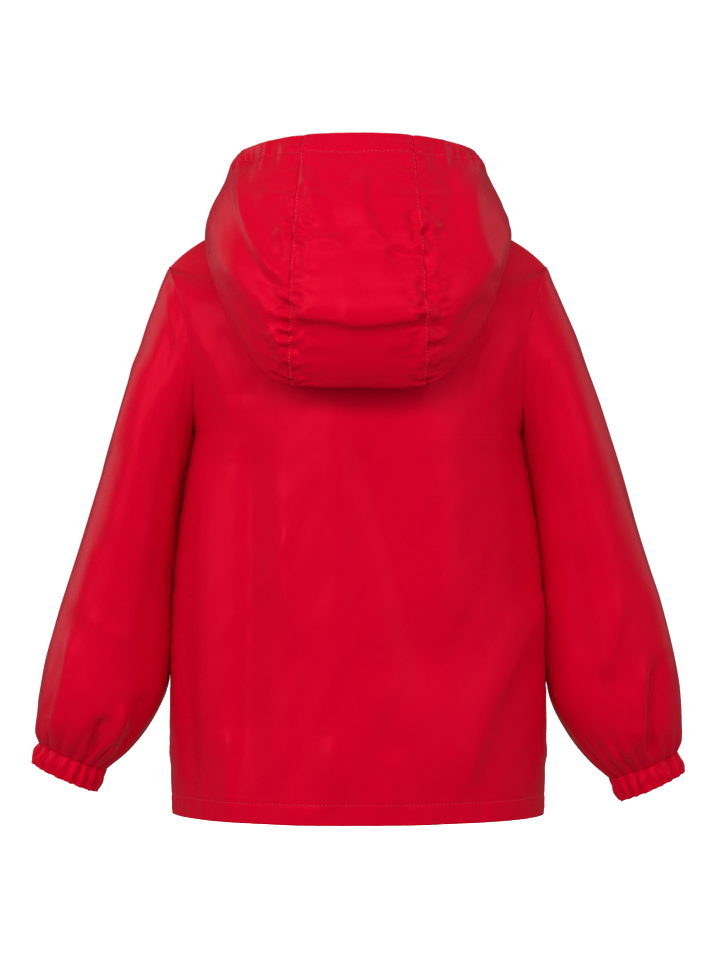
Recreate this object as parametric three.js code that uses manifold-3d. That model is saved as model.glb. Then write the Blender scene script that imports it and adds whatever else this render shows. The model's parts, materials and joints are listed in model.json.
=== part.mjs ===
// A child's hooded rain jacket for a height of 116 cm, filled out as if it were worn, with nobody in it.
// Millimetres, +Z up. The origin is the middle of the neck opening. The back faces +Y, and the
// wearer's left is +X. Every cloth piece is a thin wall, and the pieces meet along their seams.
import * as THREE from "three";
import { mergeVertices, toCreasedNormals } from "three/addons/utils/BufferGeometryUtils.js";
import Module from "manifold-3d";

const wasm = await Module();
wasm.setup();

const { clamp, degToRad: radians } = THREE.MathUtils;

// Cloth and seams.
const CLOTH = 1.2; // wall of a single layer
const TURNED = 2.2; // wall where the edge is turned in, at the hem and at the hood's rim
const SEAM_GAP = 0.3; // between two pieces that are sewn together
const ARMHOLE_GAP = 0.5; // the same round the armhole, whose two edges bend
const HEM_DEPTH = 18; // the turned-up hem
const CASING_DEPTH = 20; // the turned-in casing along the hood's rim
const STEP_RUN = 1.5; // length over which a turned-in edge thins to a single layer

// Grids: how many cells each piece has.
const BACK_COLUMNS = 16;
const FRONT_COLUMNS = 10;
const SIDE_ROWS = 8;
const ARMHOLE_ROWS = 12;
const SHOULDER_ROWS = 4;
const SLEEVE_ROUND = 2 * ARMHOLE_ROWS;
const UPPER_SLEEVE_ROWS = 6;
const LOWER_SLEEVE_ROWS = 3;
const GATHERS = 18; // round each cuff
const POINTS_PER_GATHER = 4;
const GATHERED_ROUND = GATHERS * POINTS_PER_GATHER;
const HOOD_ROWS = 20;
const HOOD_CENTRE_COLUMNS = 6;
const HOOD_SIDE_COLUMNS = 14;

// A table whose rows hold the named columns.
const named = (columns, rows) =>
  rows.map((row) => Object.fromEntries(columns.split(" ").map((column, i) => [column, row[i]])));

// The body, row by row from the hem up. The edge is the side seam, whose plane is y = 0, and the
// back and front columns are the centre lines. Turn is how far a row bends from centre to edge.
const TORSO = named("at edgeX edgeZ backY backZ frontY frontZ turn", [
  ["hem", 158, -500, 97, -500, -99, -500, 90],
  ["hip", 160, -435, 97, -435, -99, -435, 90],
  ["waist", 159, -360, 95, -360, -98, -360, 90],
  ["ribs", 154.5, -270, 93, -270, -97, -270, 90],
  ["underarm", 141, -178, 92, -178, -95, -178, 86],
  ["shoulder", 161, -37, 82, -60, -77, -64, 60],
  ["neck", 66, 12, 58, -5, -62, -50, 90],
]);
const UNDERARM = TORSO.findIndex((row) => row.at === "underarm");
const SHOULDER = TORSO.findIndex((row) => row.at === "shoulder");
const NECK = TORSO.findIndex((row) => row.at === "neck");
const SHOULDER_BEND = new THREE.Vector2(135, -5.5); // what the shoulder seam bends towards
const EASE_REACH = 0.3; // how many rows the underarm's corner is eased over, away from the edge
const EASE_SPREAD = 0.8; // how fast that easing fades up and down the body, in rows
const EASE_POWER = 6; // how close to the edge the body takes the edge's own corner

// A sleeve, ring by ring from the armhole to the cuff, for the wearer's left. Outer is the ring's
// point that is farthest from the body and inner the nearest. Depth is half the ring's size along
// Y. Dish is how far the ring's front and back are drawn in towards the body.
const RING = "at outerX outerZ innerX innerZ depth centreY dish gather";
const SLEEVE = named(RING, [
  ["armhole", 161, -37, 141, -178, 52, 0, 11, 0],
  ["cap", 171, -64, 144.5, -187, 52, 0, 7, 0],
  ["upper arm", 184, -98, 147, -202, 53, -1, 3, 0],
  ["biceps", 202, -149, 150.5, -225, 54, -2, 0, 0],
  ["above elbow", 218, -200, 154.6, -255, 54, -3, 0, 0],
  ["elbow", 233, -251, 158, -292, 54, -4, 0, 0],
  ["forearm", 249, -302, 160.5, -330, 54, -5, 0, 0],
  ["lower arm", 264, -353, 162.5, -365, 54, -6, 0, 0.2],
  ["fullest", 272, -391, 166, -398, 53, -7, 0, 0.7],
  ["turning in", 275, -416, 178, -424, 49, -8, 0, 1.8],
  ["gathered", 274.5, -431, 197, -447, 39, -8, 0, 2.6],
  ["cuff seam", 271, -441, 215, -463, 27, -8, 0, 1.4],
]);
const CUFF = named(RING, [
  ["seam", 271, -441, 215, -463, 27, -8, 0, 1.4],
  ["middle", 275, -450, 218.5, -473, 27.5, -8, 0, 1.6],
  ["wrist", 277, -458, 223, -482, 26, -8, 0, 1.4],
]);
const RIGHT_CUFF_DROP = 8; // the right cuff hangs this much lower than the left one
const ELBOW = 5.5; // the row where the two halves of a sleeve's wall meet
const GATHERED_FROM = SLEEVE.length - 4; // the last row above a cuff's gathers
const SWING = { left: -2.5, right: 3.5 }; // how far out the middle of each sleeve's outer side swings
const GATHER_SHIFT = 0.6; // how unevenly a cuff's gathers are spaced
const GATHER_SHIFTS = 3; // how often that unevenness comes round
const SLEEVE_EDGE = 14; // the sleeve's folds fade over this distance from its two edges
const SLEEVE_SEAM_ROWS = 1.5; // and over this many rows above the cuff

// The hood hangs down the back. Its rows run from the neck seam down inside, round the fold at
// the bottom and up outside to the rim. Side is its half-width, back and front its reach along Y.
// Drape is how far the row follows the hanging curve: 0 a plain ring, 1 a pouch.
const HOOD = named("at side backY frontY backZ sideZ frontZ drape", [
  ["neck", 66, 58, 62, -5, 12, -50, 0],
  ["lift", 72, 67, 63, 4, 22, -44, 0.2],
  ["inner", 98, 93, 65, -60, 15, -36, 0.8],
  ["fold", 125, 119, 67, -142, 10, -28, 1],
  ["bulge", 128, 150, 69, -80, 13, -20, 1],
  ["upper", 117, 127, 72, 0, 30, -12, 0.8],
  ["rim", 103, 85, 75, 69, 56, -5, 0],
]);
const RIM = HOOD.length - 1;
const HOOD_SEAM = radians(26); // where the side panels meet the centre panel
const DRAPE_SPREAD = radians(72); // how far round the hood its hanging part reaches
const DRAPE_POWER = 3.5;
const SQUARE = 0.4; // how much squarer than an ellipse the pouch is, seen from above
const NECK_GAP = 0.5; // between the neckline and the hood's first row

// The largest soft folds. Each runs from one place to another, seen along Y: positive heights are
// ridges and negative ones troughs. Width is the half-width over which a fold fades.
const FOLD = "fromX fromZ toX toZ width height";
const BACK_FOLDS = named(FOLD, [
  [121, -205, 121, -420, 22, 3],
  [86, -205, 90, -430, 18, -3],
  [16, -150, 14, -430, 20, 2.5],
  [8, -160, -52, -310, 20, -3],
  [-146, -320, -88, -480, 26, -4],
]);
const FRONT_FOLDS = named(FOLD, [
  [112, -215, 104, -440, 24, 3],
  [70, -240, 62, -460, 22, -3],
  [-118, -230, -100, -450, 24, 3],
  [-74, -260, -58, -450, 22, -3],
]);
const SLEEVE_BACK_FOLDS = named(FOLD, [
  [246, -345, 262, -436, 9, 3],
  [206, -418, 228, -458, 8, -4],
  [-238, -360, -240, -436, 10, 3],
  [-256, -372, -254, -455, 8, -4],
]);
const SLEEVE_FRONT_FOLDS = named(FOLD, [
  [236, -340, 248, -440, 10, 3],
  [200, -400, 222, -455, 8, -4],
  [-240, -350, -252, -445, 10, 3],
  [-212, -400, -230, -460, 8, -4],
]);
const FOLD_FADE = 0.22; // share of a fold's length over which its ends fade
const BODY_EDGE_FADE = 0.15; // share of the body's half-width over which folds fade at its edges

// The centre zip. The slider stands near the top, just under the hood's rim.
const OPENING_HALF = 5.5; // from the centre line to each front's edge
const TAPE_HALF = 12.5; // from the centre line to each tape's outer edge
const TAPE = 1.0; // thickness
const TAPE_GAP = 0.6; // between a tape and the panels that it is sewn behind
const TAPE_FOOT = 6; // height of the tapes' lower end above the hem
const TAPE_TOP = 5.6; // the hood's row where the tapes end
const CHAIN_GAP = 0.25; // from the centre line to each half of the chain
const CHAIN_HALF = 2.9; // half the width of the closed chain
const CHAIN_FOOT = 0.4; // width of the slope beside the chain
const CHAIN_HEIGHT = 1.6; // above the tape
const PARTING = 1.7; // how far each half of the chain gives way to the slider's post
const SLIDER_ROW = 4.1; // the hood's row at the slider's middle
const SLIDER = { length: 13, topHalf: 4.4, footHalf: 3.1, corner: 1.2, plate: 1.3, front: 0.5, back: 3.1 };
const POST = { half: 1.1, from: 3.0, to: 6.2 };
const ARCH = { half: 1.1, from: -4.2, to: 3.0, bar: 1.2, clear: 2.2, sunk: 0.3 };
const PULL = { half: 3.5, footHalf: 4.2, length: 26, thickness: 1.2, corner: 1 };
const PULL_EYE = { half: 1.5, length: 4.9 };
const PIVOT_UP = -0.6; // the pull's bar along the slider, from its middle

const RED = "#c8102a";
const TAPE_RED = "#a80d22";
const clothMaterial = (colour) =>
  new THREE.MeshStandardMaterial({ color: colour, roughness: 0.5, metalness: 0, side: THREE.DoubleSide });
const metalMaterial = () =>
  new THREE.MeshStandardMaterial({ color: "#b9bcc0", roughness: 0.35, metalness: 1 });

// A named column's value at a place between a table's rows, on a smooth curve through them.
function column(table, name, place) {
  const last = table.length - 1;
  const row = clamp(Math.floor(place), 0, last - 1);
  const k = place - row;
  const value = (i) => table[i][name];
  const b = value(row);
  const c = value(row + 1);
  const a = row > 0 ? value(row - 1) : 2 * b - c;
  const d = row + 2 <= last ? value(row + 2) : 2 * c - b;
  return b + 0.5 * k * (c - a + k * (2 * a - 5 * b + 4 * c - d + k * (3 * (b - c) + d - a)));
}

const spaced = (from, to, cells) =>
  Array.from({ length: cells + 1 }, (_, i) => from + ((to - from) * i) / cells);

const smooth = (k) => THREE.MathUtils.smoothstep(k, 0, 1);

// How far the folds of a table raise the cloth at a place seen along Y.
function foldHeight(folds, x, z) {
  let height = 0;
  for (const fold of folds) {
    const runX = fold.toX - fold.fromX;
    const runZ = fold.toZ - fold.fromZ;
    const length = Math.hypot(runX, runZ);
    const along = ((x - fold.fromX) * runX + (z - fold.fromZ) * runZ) / length ** 2;
    const aside = ((x - fold.fromX) * runZ - (z - fold.fromZ) * runX) / length;
    const ends = smooth((along + FOLD_FADE) / FOLD_FADE) * smooth((1 + FOLD_FADE - along) / FOLD_FADE);
    height += fold.height * ends * Math.exp(-((aside / fold.width) ** 2));
  }
  return height;
}

// The direction out of a surface of two parameters. Facing is 1 or -1.
const PROBE = 1e-3;
function outwards(surface, a, b, facing) {
  const across = surface(a + PROBE, b).sub(surface(a - PROBE, b));
  const along = surface(a, b + PROBE).sub(surface(a, b - PROBE));
  return across.cross(along).normalize().multiplyScalar(facing);
}

// One row of a cloth wall: for each place across it, the outer point and the inner one.
function wallRow(surface, across, along, { facing, thickness, relief = () => 0, settle = () => {} }) {
  return across.map((a) => {
    const outer = surface(a, along);
    const out = outwards(surface, a, along, facing);
    outer.addScaledVector(out, relief(outer, a, along));
    const point = { outer, inner: outer.clone().addScaledVector(out, -thickness) };
    settle(point, a, along);
    return point;
  });
}

// Keeps a wall's thickness on its own side of a seam, which is the side that the direction points to.
function keepTo(direction, point) {
  const thick = point.inner.clone().sub(point.outer);
  const across = thick.dot(direction);
  if (across < 0) thick.addScaledVector(direction, -across).setLength(CLOTH);
  point.inner.copy(point.outer).add(thick);
}

// Triangles between two lists of point numbers, whose lengths may differ.
function lace(faces, first, second, closed) {
  const firstEnd = closed ? first.length : first.length - 1;
  const secondEnd = closed ? second.length : second.length - 1;
  const tie = 1e-9;
  let a = 0;
  let b = 0;
  while (a < firstEnd || b < secondEnd) {
    if ((a + 1) / firstEnd <= (b + 1) / secondEnd + tie) {
      faces.push(first[a], first[(a + 1) % first.length], second[b % second.length]);
      a += 1;
    } else {
      faces.push(first[a % first.length], second[(b + 1) % second.length], second[b]);
      b += 1;
    }
  }
}

// A closed thin wall through rows of outer and inner points. Closed rows run all the way round.
function clothGeometry(rows, closed) {
  const positions = [];
  const number = (point) => positions.push(point.x, point.y, point.z) / 3 - 1;
  const outer = rows.map((row) => row.map((point) => number(point.outer)));
  const inner = rows.map((row) => row.map((point) => number(point.inner)));
  const faces = [];
  for (let i = 0; i + 1 < rows.length; i += 1) {
    lace(faces, outer[i], outer[i + 1], closed);
    lace(faces, inner[i + 1], inner[i], closed);
  }
  lace(faces, inner[0], outer[0], closed);
  lace(faces, outer.at(-1), inner.at(-1), closed);
  if (!closed) {
    lace(faces, outer.map((row) => row[0]), inner.map((row) => row[0]), false);
    lace(faces, inner.map((row) => row.at(-1)), outer.map((row) => row.at(-1)), false);
  }
  const geometry = new THREE.BufferGeometry();
  geometry.setAttribute("position", new THREE.Float32BufferAttribute(positions, 3));
  geometry.setIndex(volume(positions, faces) < 0 ? faces.reverse() : faces);
  return geometry;
}

// Six times the volume that a list of triangles encloses, positive when they face out.
function volume(positions, faces) {
  const corner = (i) => new THREE.Vector3().fromArray(positions, 3 * i);
  let sum = 0;
  for (let i = 0; i < faces.length; i += 3) {
    sum += corner(faces[i]).dot(corner(faces[i + 1]).cross(corner(faces[i + 2])));
  }
  return sum;
}

// A row of the body's wall is thicker over the hem.
const hemRow = (height) => height / (TORSO[1].edgeZ - TORSO[0].edgeZ);
const bodyThickness = (row) => (row <= hemRow(HEM_DEPTH) ? TURNED : CLOTH);
const BODY_ROWS = [
  0,
  hemRow(HEM_DEPTH),
  hemRow(HEM_DEPTH + STEP_RUN),
  ...spaced(hemRow(HEM_DEPTH + STEP_RUN), UNDERARM, SIDE_ROWS).slice(1),
  ...spaced(UNDERARM, SHOULDER, ARMHOLE_ROWS).slice(1),
  ...spaced(SHOULDER, NECK, SHOULDER_ROWS).slice(1),
];

// A point of a sleeve's or cuff's ring. The angle is 0 at the outer side and rises towards the back.
// Swing moves the outer side out, most in the middle of the table.
function ringPoint(table, angle, row, drop, swing) {
  const at = (name) => column(table, name, row);
  const out = swing * Math.sin((Math.PI * row) / (table.length - 1)) ** 2;
  const reachX = (at("outerX") + out - at("innerX")) / 2;
  const reachZ = (at("outerZ") - at("innerZ")) / 2;
  const reach = Math.hypot(reachX, reachZ);
  const uneven = GATHER_SHIFT * Math.sin(GATHER_SHIFTS * angle);
  const wave = at("gather") * Math.cos(GATHERS * angle + uneven);
  const dish = at("dish") * Math.sin(angle) ** 2;
  const round = Math.cos(angle) * (1 + wave / reach);
  return new THREE.Vector3(
    at("innerX") + reachX * (1 + round) - (dish * reachZ) / reach,
    at("centreY") + (at("depth") + wave) * Math.sin(angle),
    at("innerZ") + reachZ * (1 + round) + (dish * reachX) / reach - drop,
  );
}

// The body's edge on the wearer's left, for the back or the front.
function bodyEdge(face, row) {
  if (row > SHOULDER) {
    const k = (row - SHOULDER) / (NECK - SHOULDER);
    const tip = TORSO[SHOULDER];
    const neck = TORSO[NECK];
    const along = (from, bend, to) => (1 - k) ** 2 * from + 2 * k * (1 - k) * bend + k * k * to;
    return new THREE.Vector3(
      along(tip.edgeX, SHOULDER_BEND.x, neck.edgeX),
      0,
      along(tip.edgeZ, SHOULDER_BEND.y, neck.edgeZ),
    );
  }
  if (row > UNDERARM) return ringPoint(SLEEVE, face * Math.PI * (SHOULDER - row), 0, 0, 0);
  const below = TORSO.slice(0, UNDERARM + 1);
  return new THREE.Vector3(column(below, "edgeX", row), 0, column(below, "edgeZ", row));
}

// The body's edge as the cloth follows it at this place across. At the edge itself it is the edge,
// and inside it is the mean of nearby rows, so that the underarm's corner makes no crease.
function easedEdge(face, across, row) {
  const reach = EASE_REACH * Math.exp(-(((row - UNDERARM) / EASE_SPREAD) ** 2));
  const nearby = spaced(-reach, reach, 4).map((step) => bodyEdge(face, clamp(row + step, 0, NECK)));
  const mean = nearby.reduce((sum, point) => sum.add(point)).divideScalar(nearby.length);
  return mean.lerp(bodyEdge(face, row), Math.abs(across) ** EASE_POWER);
}

// A point of the body. Face is 1 for the back and -1 for the front; across runs from -1 at the
// wearer's right edge to 1 at the left edge. Each row is part of an ellipse.
function bodyPoint(face, across, row) {
  const edge = easedEdge(face, across, row);
  const [centreY, centreZ] = face > 0 ? ["backY", "backZ"] : ["frontY", "frontZ"];
  const turn = radians(column(TORSO, "turn", row));
  const round = (Math.cos(across * turn) - Math.cos(turn)) / (1 - Math.cos(turn));
  return new THREE.Vector3(
    (edge.x * Math.sin(across * turn)) / Math.sin(turn),
    edge.y + (column(TORSO, centreY, row) - edge.y) * round + (face * SEAM_GAP) / 2,
    edge.z + (column(TORSO, centreZ, row) - edge.z) * round,
  );
}

// Where across a body row a distance from the centre line lies.
function bodyAcross(face, x, row) {
  const turn = radians(column(TORSO, "turn", row));
  return Math.asin((x * Math.sin(turn)) / bodyEdge(face, row).x) / turn;
}

function bodyPanel(face, folds, acrossOf) {
  const relief = (point, across, row) => {
    const inside = smooth((1 - Math.abs(across)) / BODY_EDGE_FADE) * smooth(SHOULDER - row);
    return foldHeight(folds, point.x, point.z) * inside;
  };
  const settle = (point, across, row) => {
    const side = Math.sign(across);
    if (Math.abs(across) === 1 && row > UNDERARM) keepTo(downTube(SLEEVE, side, 0).negate(), point);
    point.inner.y = face * Math.max(face * point.inner.y, SEAM_GAP / 2);
  };
  return clothGeometry(
    BODY_ROWS.map((row) =>
      wallRow((a, b) => bodyPoint(face, a, b), acrossOf(row), row, {
        facing: -face,
        thickness: bodyThickness(row),
        relief,
        settle,
      }),
    ),
    false,
  );
}

const back = () => bodyPanel(1, BACK_FOLDS, () => spaced(-1, 1, BACK_COLUMNS));

const front = (side) =>
  bodyPanel(-1, FRONT_FOLDS, (row) =>
    spaced(bodyAcross(-1, OPENING_HALF, row), 1, FRONT_COLUMNS).map((across) => side * across),
  );

// A ring of cloth of a sleeve or cuff, for the side 1, the wearer's left, or -1, the right.
// Nudge moves the ring along the tube, to leave a seam's gap.
function tubeRow(table, side, row, count, { dropOf, swing = 0, nudge = new THREE.Vector3(), keep }) {
  const surface = (angle, place) => {
    const point = ringPoint(table, angle, place, dropOf(place), swing);
    point.x *= side;
    return point;
  };
  const angles = spaced(0, 2 * Math.PI, count).slice(0, count);
  return wallRow(surface, angles, row, {
    facing: -side,
    thickness: CLOTH,
    relief: (point) => {
      const folds = point.y > SLEEVE[0].centreY ? SLEEVE_BACK_FOLDS : SLEEVE_FRONT_FOLDS;
      const nearSeam = smooth((SLEEVE.length - 1 - row) / SLEEVE_SEAM_ROWS);
      const offEdge = smooth(Math.abs(point.y) / SLEEVE_EDGE);
      return table === SLEEVE ? foldHeight(folds, point.x, point.z) * nearSeam * offEdge : 0;
    },
    settle: (point) => {
      if (keep) keepTo(keep, point);
      point.outer.add(nudge);
      point.inner.add(nudge);
    },
  });
}

// The direction out of a ring's plane, down the tube.
function downTube(table, side, row) {
  const at = (name) => column(table, name, row);
  const down = new THREE.Vector3(side * (at("outerZ") - at("innerZ")), 0, at("innerX") - at("outerX"));
  return down.normalize();
}

const cuffDrop = (side) => (side > 0 ? 0 : RIGHT_CUFF_DROP);

// The sleeve is cut from one piece of cloth. Its wall is in two halves, so that each is a plain tube.
const UPPER_SLEEVE = spaced(0, ELBOW, UPPER_SLEEVE_ROWS);
const LOWER_SLEEVE = [
  ...spaced(ELBOW, GATHERED_FROM, LOWER_SLEEVE_ROWS),
  ...[1, 2, 2.5, 3].map((step) => GATHERED_FROM + step),
];

// The part of a sleeve that has these rows.
function sleeve(side, rows) {
  const last = SLEEVE.length - 1;
  const dropOf = (row) => cuffDrop(side) * smooth((row - 1) / (last - 1));
  const swing = side > 0 ? SWING.left : SWING.right;
  const rings = rows.map((row) => {
    const round = row > GATHERED_FROM ? GATHERED_ROUND : SLEEVE_ROUND;
    const down = downTube(SLEEVE, side, row);
    const place = { dropOf, swing };
    if (row === rows[0]) {
      place.keep = down;
      place.nudge = down.clone().multiplyScalar(row === 0 ? ARMHOLE_GAP : SEAM_GAP);
    } else if (row === ELBOW) {
      place.keep = down.negate();
    }
    return tubeRow(SLEEVE, side, row, round, place);
  });
  return clothGeometry(rings, true);
}

function cuff(side) {
  const dropOf = () => cuffDrop(side);
  const nudge = downTube(CUFF, side, 0).multiplyScalar(SEAM_GAP);
  const rows = CUFF.map((_, row) => tubeRow(CUFF, side, row, GATHERED_ROUND, { dropOf, nudge }));
  return clothGeometry(rows, true);
}

// A point of the hood. The angle is 0 at the middle of the back and half a turn at the front.
function hoodPoint(angle, row) {
  const at = (name) => column(HOOD, name, row);
  const cosine = Math.cos(angle);
  const hanging = Math.exp(-((Math.abs(angle) / DRAPE_SPREAD) ** DRAPE_POWER));
  const behind = THREE.MathUtils.lerp(Math.max(cosine, 0), hanging, clamp(at("drape"), 0, 1));
  const ahead = Math.max(-cosine, 0);
  const squarer = 1 - SQUARE * clamp(at("drape"), 0, 1);
  return new THREE.Vector3(
    at("side") * Math.sin(angle),
    cosine > 0 ? at("backY") * cosine ** squarer : at("frontY") * cosine,
    at("sideZ") + (at("backZ") - at("sideZ")) * behind + (at("frontZ") - at("sideZ")) * ahead,
  );
}

// The angle where the hood's front is this far from the centre line.
const hoodFront = (x, row) => Math.PI - Math.asin(x / column(HOOD, "side", row));

// Rows of the hood; the last ones bound the casing, which is measured down the outside from the rim.
const casingRows = (depth) => {
  const upper = hoodPoint(0, RIM - 1);
  return RIM - depth / hoodPoint(0, RIM).distanceTo(upper);
};
const HOOD_PLACES = [
  ...spaced(0, casingRows(CASING_DEPTH + STEP_RUN), HOOD_ROWS),
  casingRows(CASING_DEPTH),
  RIM,
];
const hoodThickness = (row) => (row < casingRows(CASING_DEPTH) ? CLOTH : TURNED);

function hoodPanel(anglesOf, shift) {
  return clothGeometry(
    HOOD_PLACES.map((row) =>
      wallRow(hoodPoint, anglesOf(row), row, {
        facing: -1,
        thickness: hoodThickness(row),
        settle: (point, angle) => {
          const rise = hoodPoint(angle, row + PROBE).sub(hoodPoint(angle, row));
          rise.setLength(row === 0 ? NECK_GAP : 0);
          for (const corner of [point.outer, point.inner]) {
            corner.add(rise);
            corner.x += shift;
          }
        },
      }),
    ),
    false,
  );
}

const hoodCentre = () => hoodPanel(() => spaced(-HOOD_SEAM, HOOD_SEAM, HOOD_CENTRE_COLUMNS), 0);

const hoodSide = (side) =>
  hoodPanel(
    (row) =>
      spaced(HOOD_SEAM, hoodFront(OPENING_HALF, row), HOOD_SIDE_COLUMNS).map((angle) => side * angle),
    side * SEAM_GAP,
  );

// How the hood's front edge rises past the slider.
const sliderRise = () => hoodPoint(Math.PI, SLIDER_ROW + 0.5).sub(hoodPoint(Math.PI, SLIDER_ROW - 0.5));

// Half of the zip: a tape behind the front's and the hood's edges, with half of the chain raised
// along its inner edge. The halves part where the slider's post stands between them.
function zipTape(side) {
  const sliderRows = SLIDER.length / sliderRise().length();
  const foot = SLIDER_ROW - sliderRows / 2;
  const partedAt = (row) => PARTING * smooth((row - foot) / sliderRows);
  const tapeRow = (surface, acrossOf, row, facing, wall, parted) => {
    const chainEdge = CHAIN_HALF + parted;
    return [CHAIN_GAP + parted, chainEdge, chainEdge + CHAIN_FOOT, TAPE_HALF].map((x) => {
      const across = side * acrossOf(x);
      const out = outwards(surface, across, row, facing);
      const face = surface(across, row).addScaledVector(out, -wall - TAPE_GAP);
      const raised = x <= chainEdge ? CHAIN_HEIGHT : 0;
      return {
        outer: face.clone().addScaledVector(out, raised),
        inner: face.clone().addScaledVector(out, -TAPE),
      };
    });
  };
  const bodySurface = (across, row) => bodyPoint(-1, across, row);
  const bodyRows = [hemRow(TAPE_FOOT), ...BODY_ROWS.slice(1)].map((row) =>
    tapeRow(bodySurface, (x) => bodyAcross(-1, x, row), row, 1, bodyThickness(row), 0),
  );
  const hoodRows = HOOD_PLACES.filter((row) => row > 0 && row <= TAPE_TOP).map((row) =>
    tapeRow(hoodPoint, (x) => hoodFront(x, row), row, -1, hoodThickness(row), partedAt(row)),
  );
  return clothGeometry([...bodyRows, ...hoodRows], false);
}

// A flat outline whose corners are rounded.
function roundedShape(corners, radius) {
  const shape = new THREE.Shape();
  corners.forEach(([x, y], i) => {
    const corner = new THREE.Vector2(x, y);
    const towards = (next) => new THREE.Vector2(...next).sub(corner).setLength(radius).add(corner);
    const enter = towards(corners.at(i - 1));
    const leave = towards(corners[(i + 1) % corners.length]);
    if (i === 0) shape.moveTo(enter.x, enter.y);
    else shape.lineTo(enter.x, enter.y);
    shape.quadraticCurveTo(corner.x, corner.y, leave.x, leave.y);
  });
  shape.closePath();
  return shape;
}

const vectors = (corners) => corners.map(([x, y]) => new THREE.Vector2(x, y));
const rectangle = (halfX, fromY, toY) =>
  vectors([[-halfX, fromY], [halfX, fromY], [halfX, toY], [-halfX, toY]]);
const CORNER_STEPS = 3;

// A plate seen from the front, whose inner face lies this far out along -Y.
function plate(shape, faceOut, thickness) {
  const settings = { depth: thickness, bevelEnabled: false, curveSegments: CORNER_STEPS };
  return new THREE.ExtrudeGeometry(shape, settings)
    .rotateX(Math.PI / 2)
    .translate(0, -faceOut, 0);
}

// One solid from several closed geometries that cross each other.
function joined(geometries) {
  const solids = geometries.map((geometry) => {
    geometry.deleteAttribute("normal");
    geometry.deleteAttribute("uv");
    const merged = mergeVertices(geometry);
    return new wasm.Manifold(
      new wasm.Mesh({
        numProp: 3,
        vertProperties: merged.attributes.position.array,
        triVerts: new Uint32Array(merged.index.array),
      }),
    );
  });
  const mesh = solids.reduce((whole, solid) => whole.add(solid)).getMesh();
  return new THREE.BufferGeometry()
    .setAttribute("position", new THREE.Float32BufferAttribute(mesh.vertProperties, 3))
    .setIndex([...mesh.triVerts]);
}

// The slider stands in its own frame: +Z up the zip, -Y out of the jacket.
function slider() {
  const half = SLIDER.length / 2;
  const { footHalf, topHalf } = SLIDER;
  const corners = [[-footHalf, -half], [footHalf, -half], [topHalf, half], [-topHalf, half]];
  const outline = roundedShape(corners, SLIDER.corner);
  const behind = -SLIDER.back - SLIDER.plate;
  const ahead = SLIDER.front + SLIDER.plate;
  const sunk = ARCH.sunk;
  const legs = { out: ARCH.clear + ARCH.bar, low: ARCH.from + ARCH.bar, high: ARCH.to - ARCH.bar };
  const arch = new THREE.Shape(
    vectors([
      [-sunk, ARCH.from], [legs.out, ARCH.from], [legs.out, ARCH.to], [-sunk, ARCH.to],
      [-sunk, legs.high], [ARCH.clear, legs.high], [ARCH.clear, legs.low], [-sunk, legs.low],
    ]),
  );
  const post = new THREE.Shape(rectangle(POST.half, POST.from, POST.to));
  return joined([
    plate(outline, SLIDER.front, SLIDER.plate),
    plate(outline, behind, SLIDER.plate),
    plate(post, behind + SLIDER.plate / 2, ahead - behind - SLIDER.plate),
    plate(arch, 0, 2 * ARCH.half).rotateZ(-Math.PI / 2).translate(ARCH.half, -ahead, 0),
  ]);
}

// The pull tab hangs straight down from its bar, which is the edge of its eye.
function pull() {
  const bar = PULL.thickness / 2;
  const { half, footHalf, length } = PULL;
  const corners = [[-footHalf, -length], [footHalf, -length], [half, bar], [-half, bar]];
  const outline = roundedShape(corners, PULL.corner);
  outline.holes.push(new THREE.Path(rectangle(PULL_EYE.half, -PULL_EYE.length, -bar)));
  return plate(outline, -bar, PULL.thickness);
}

const root = new THREE.Group();

const CREASE = radians(40); // edges sharper than this are shaded as edges

function add(name, geometry, material, parent = root) {
  const mesh = new THREE.Mesh(toCreasedNormals(geometry, CREASE), material);
  mesh.name = name;
  parent.add(mesh);
  return mesh;
}

add("back", back(), clothMaterial(RED));
add("hood_centre", hoodCentre(), clothMaterial(RED));
for (const [name, side] of [["left", 1], ["right", -1]]) {
  add(`front_${name}`, front(side), clothMaterial(RED));
  add(`sleeve_upper_${name}`, sleeve(side, UPPER_SLEEVE), clothMaterial(RED));
  add(`sleeve_lower_${name}`, sleeve(side, LOWER_SLEEVE), clothMaterial(RED));
  add(`cuff_${name}`, cuff(side), clothMaterial(RED));
  add(`hood_side_${name}`, hoodSide(side), clothMaterial(RED));
  add(`zip_tape_${name}`, zipTape(side), clothMaterial(TAPE_RED));
}

// The slider leans with the hood's front edge, and the pull hangs from its arch.
const sliderFrame = new THREE.Group();
const rise = sliderRise();
sliderFrame.position.copy(hoodPoint(Math.PI, SLIDER_ROW));
sliderFrame.rotation.x = Math.atan2(-rise.y, rise.z);
root.add(sliderFrame);
add("zip_slider", slider(), metalMaterial(), sliderFrame);

const pivotOut = SLIDER.front + SLIDER.plate + ARCH.clear / 2;
const pivot = sliderFrame.localToWorld(new THREE.Vector3(0, -pivotOut, PIVOT_UP));
add("zip_pull", pull(), metalMaterial()).position.copy(pivot);

export default root;
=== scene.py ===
# %% [markdown]
# # A child's hooded rain jacket
#
# The jacket is filled out as if it were worn, and seen from behind. It is red coated cloth, cut
# as a back, two fronts with a centre zip, two sleeves gathered into elastic cuffs, and a hood of
# three panels that hangs down the back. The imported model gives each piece's place and size. This
# script gives each piece its folds, seams, stitches and finish.

# %% The frame
import json

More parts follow.
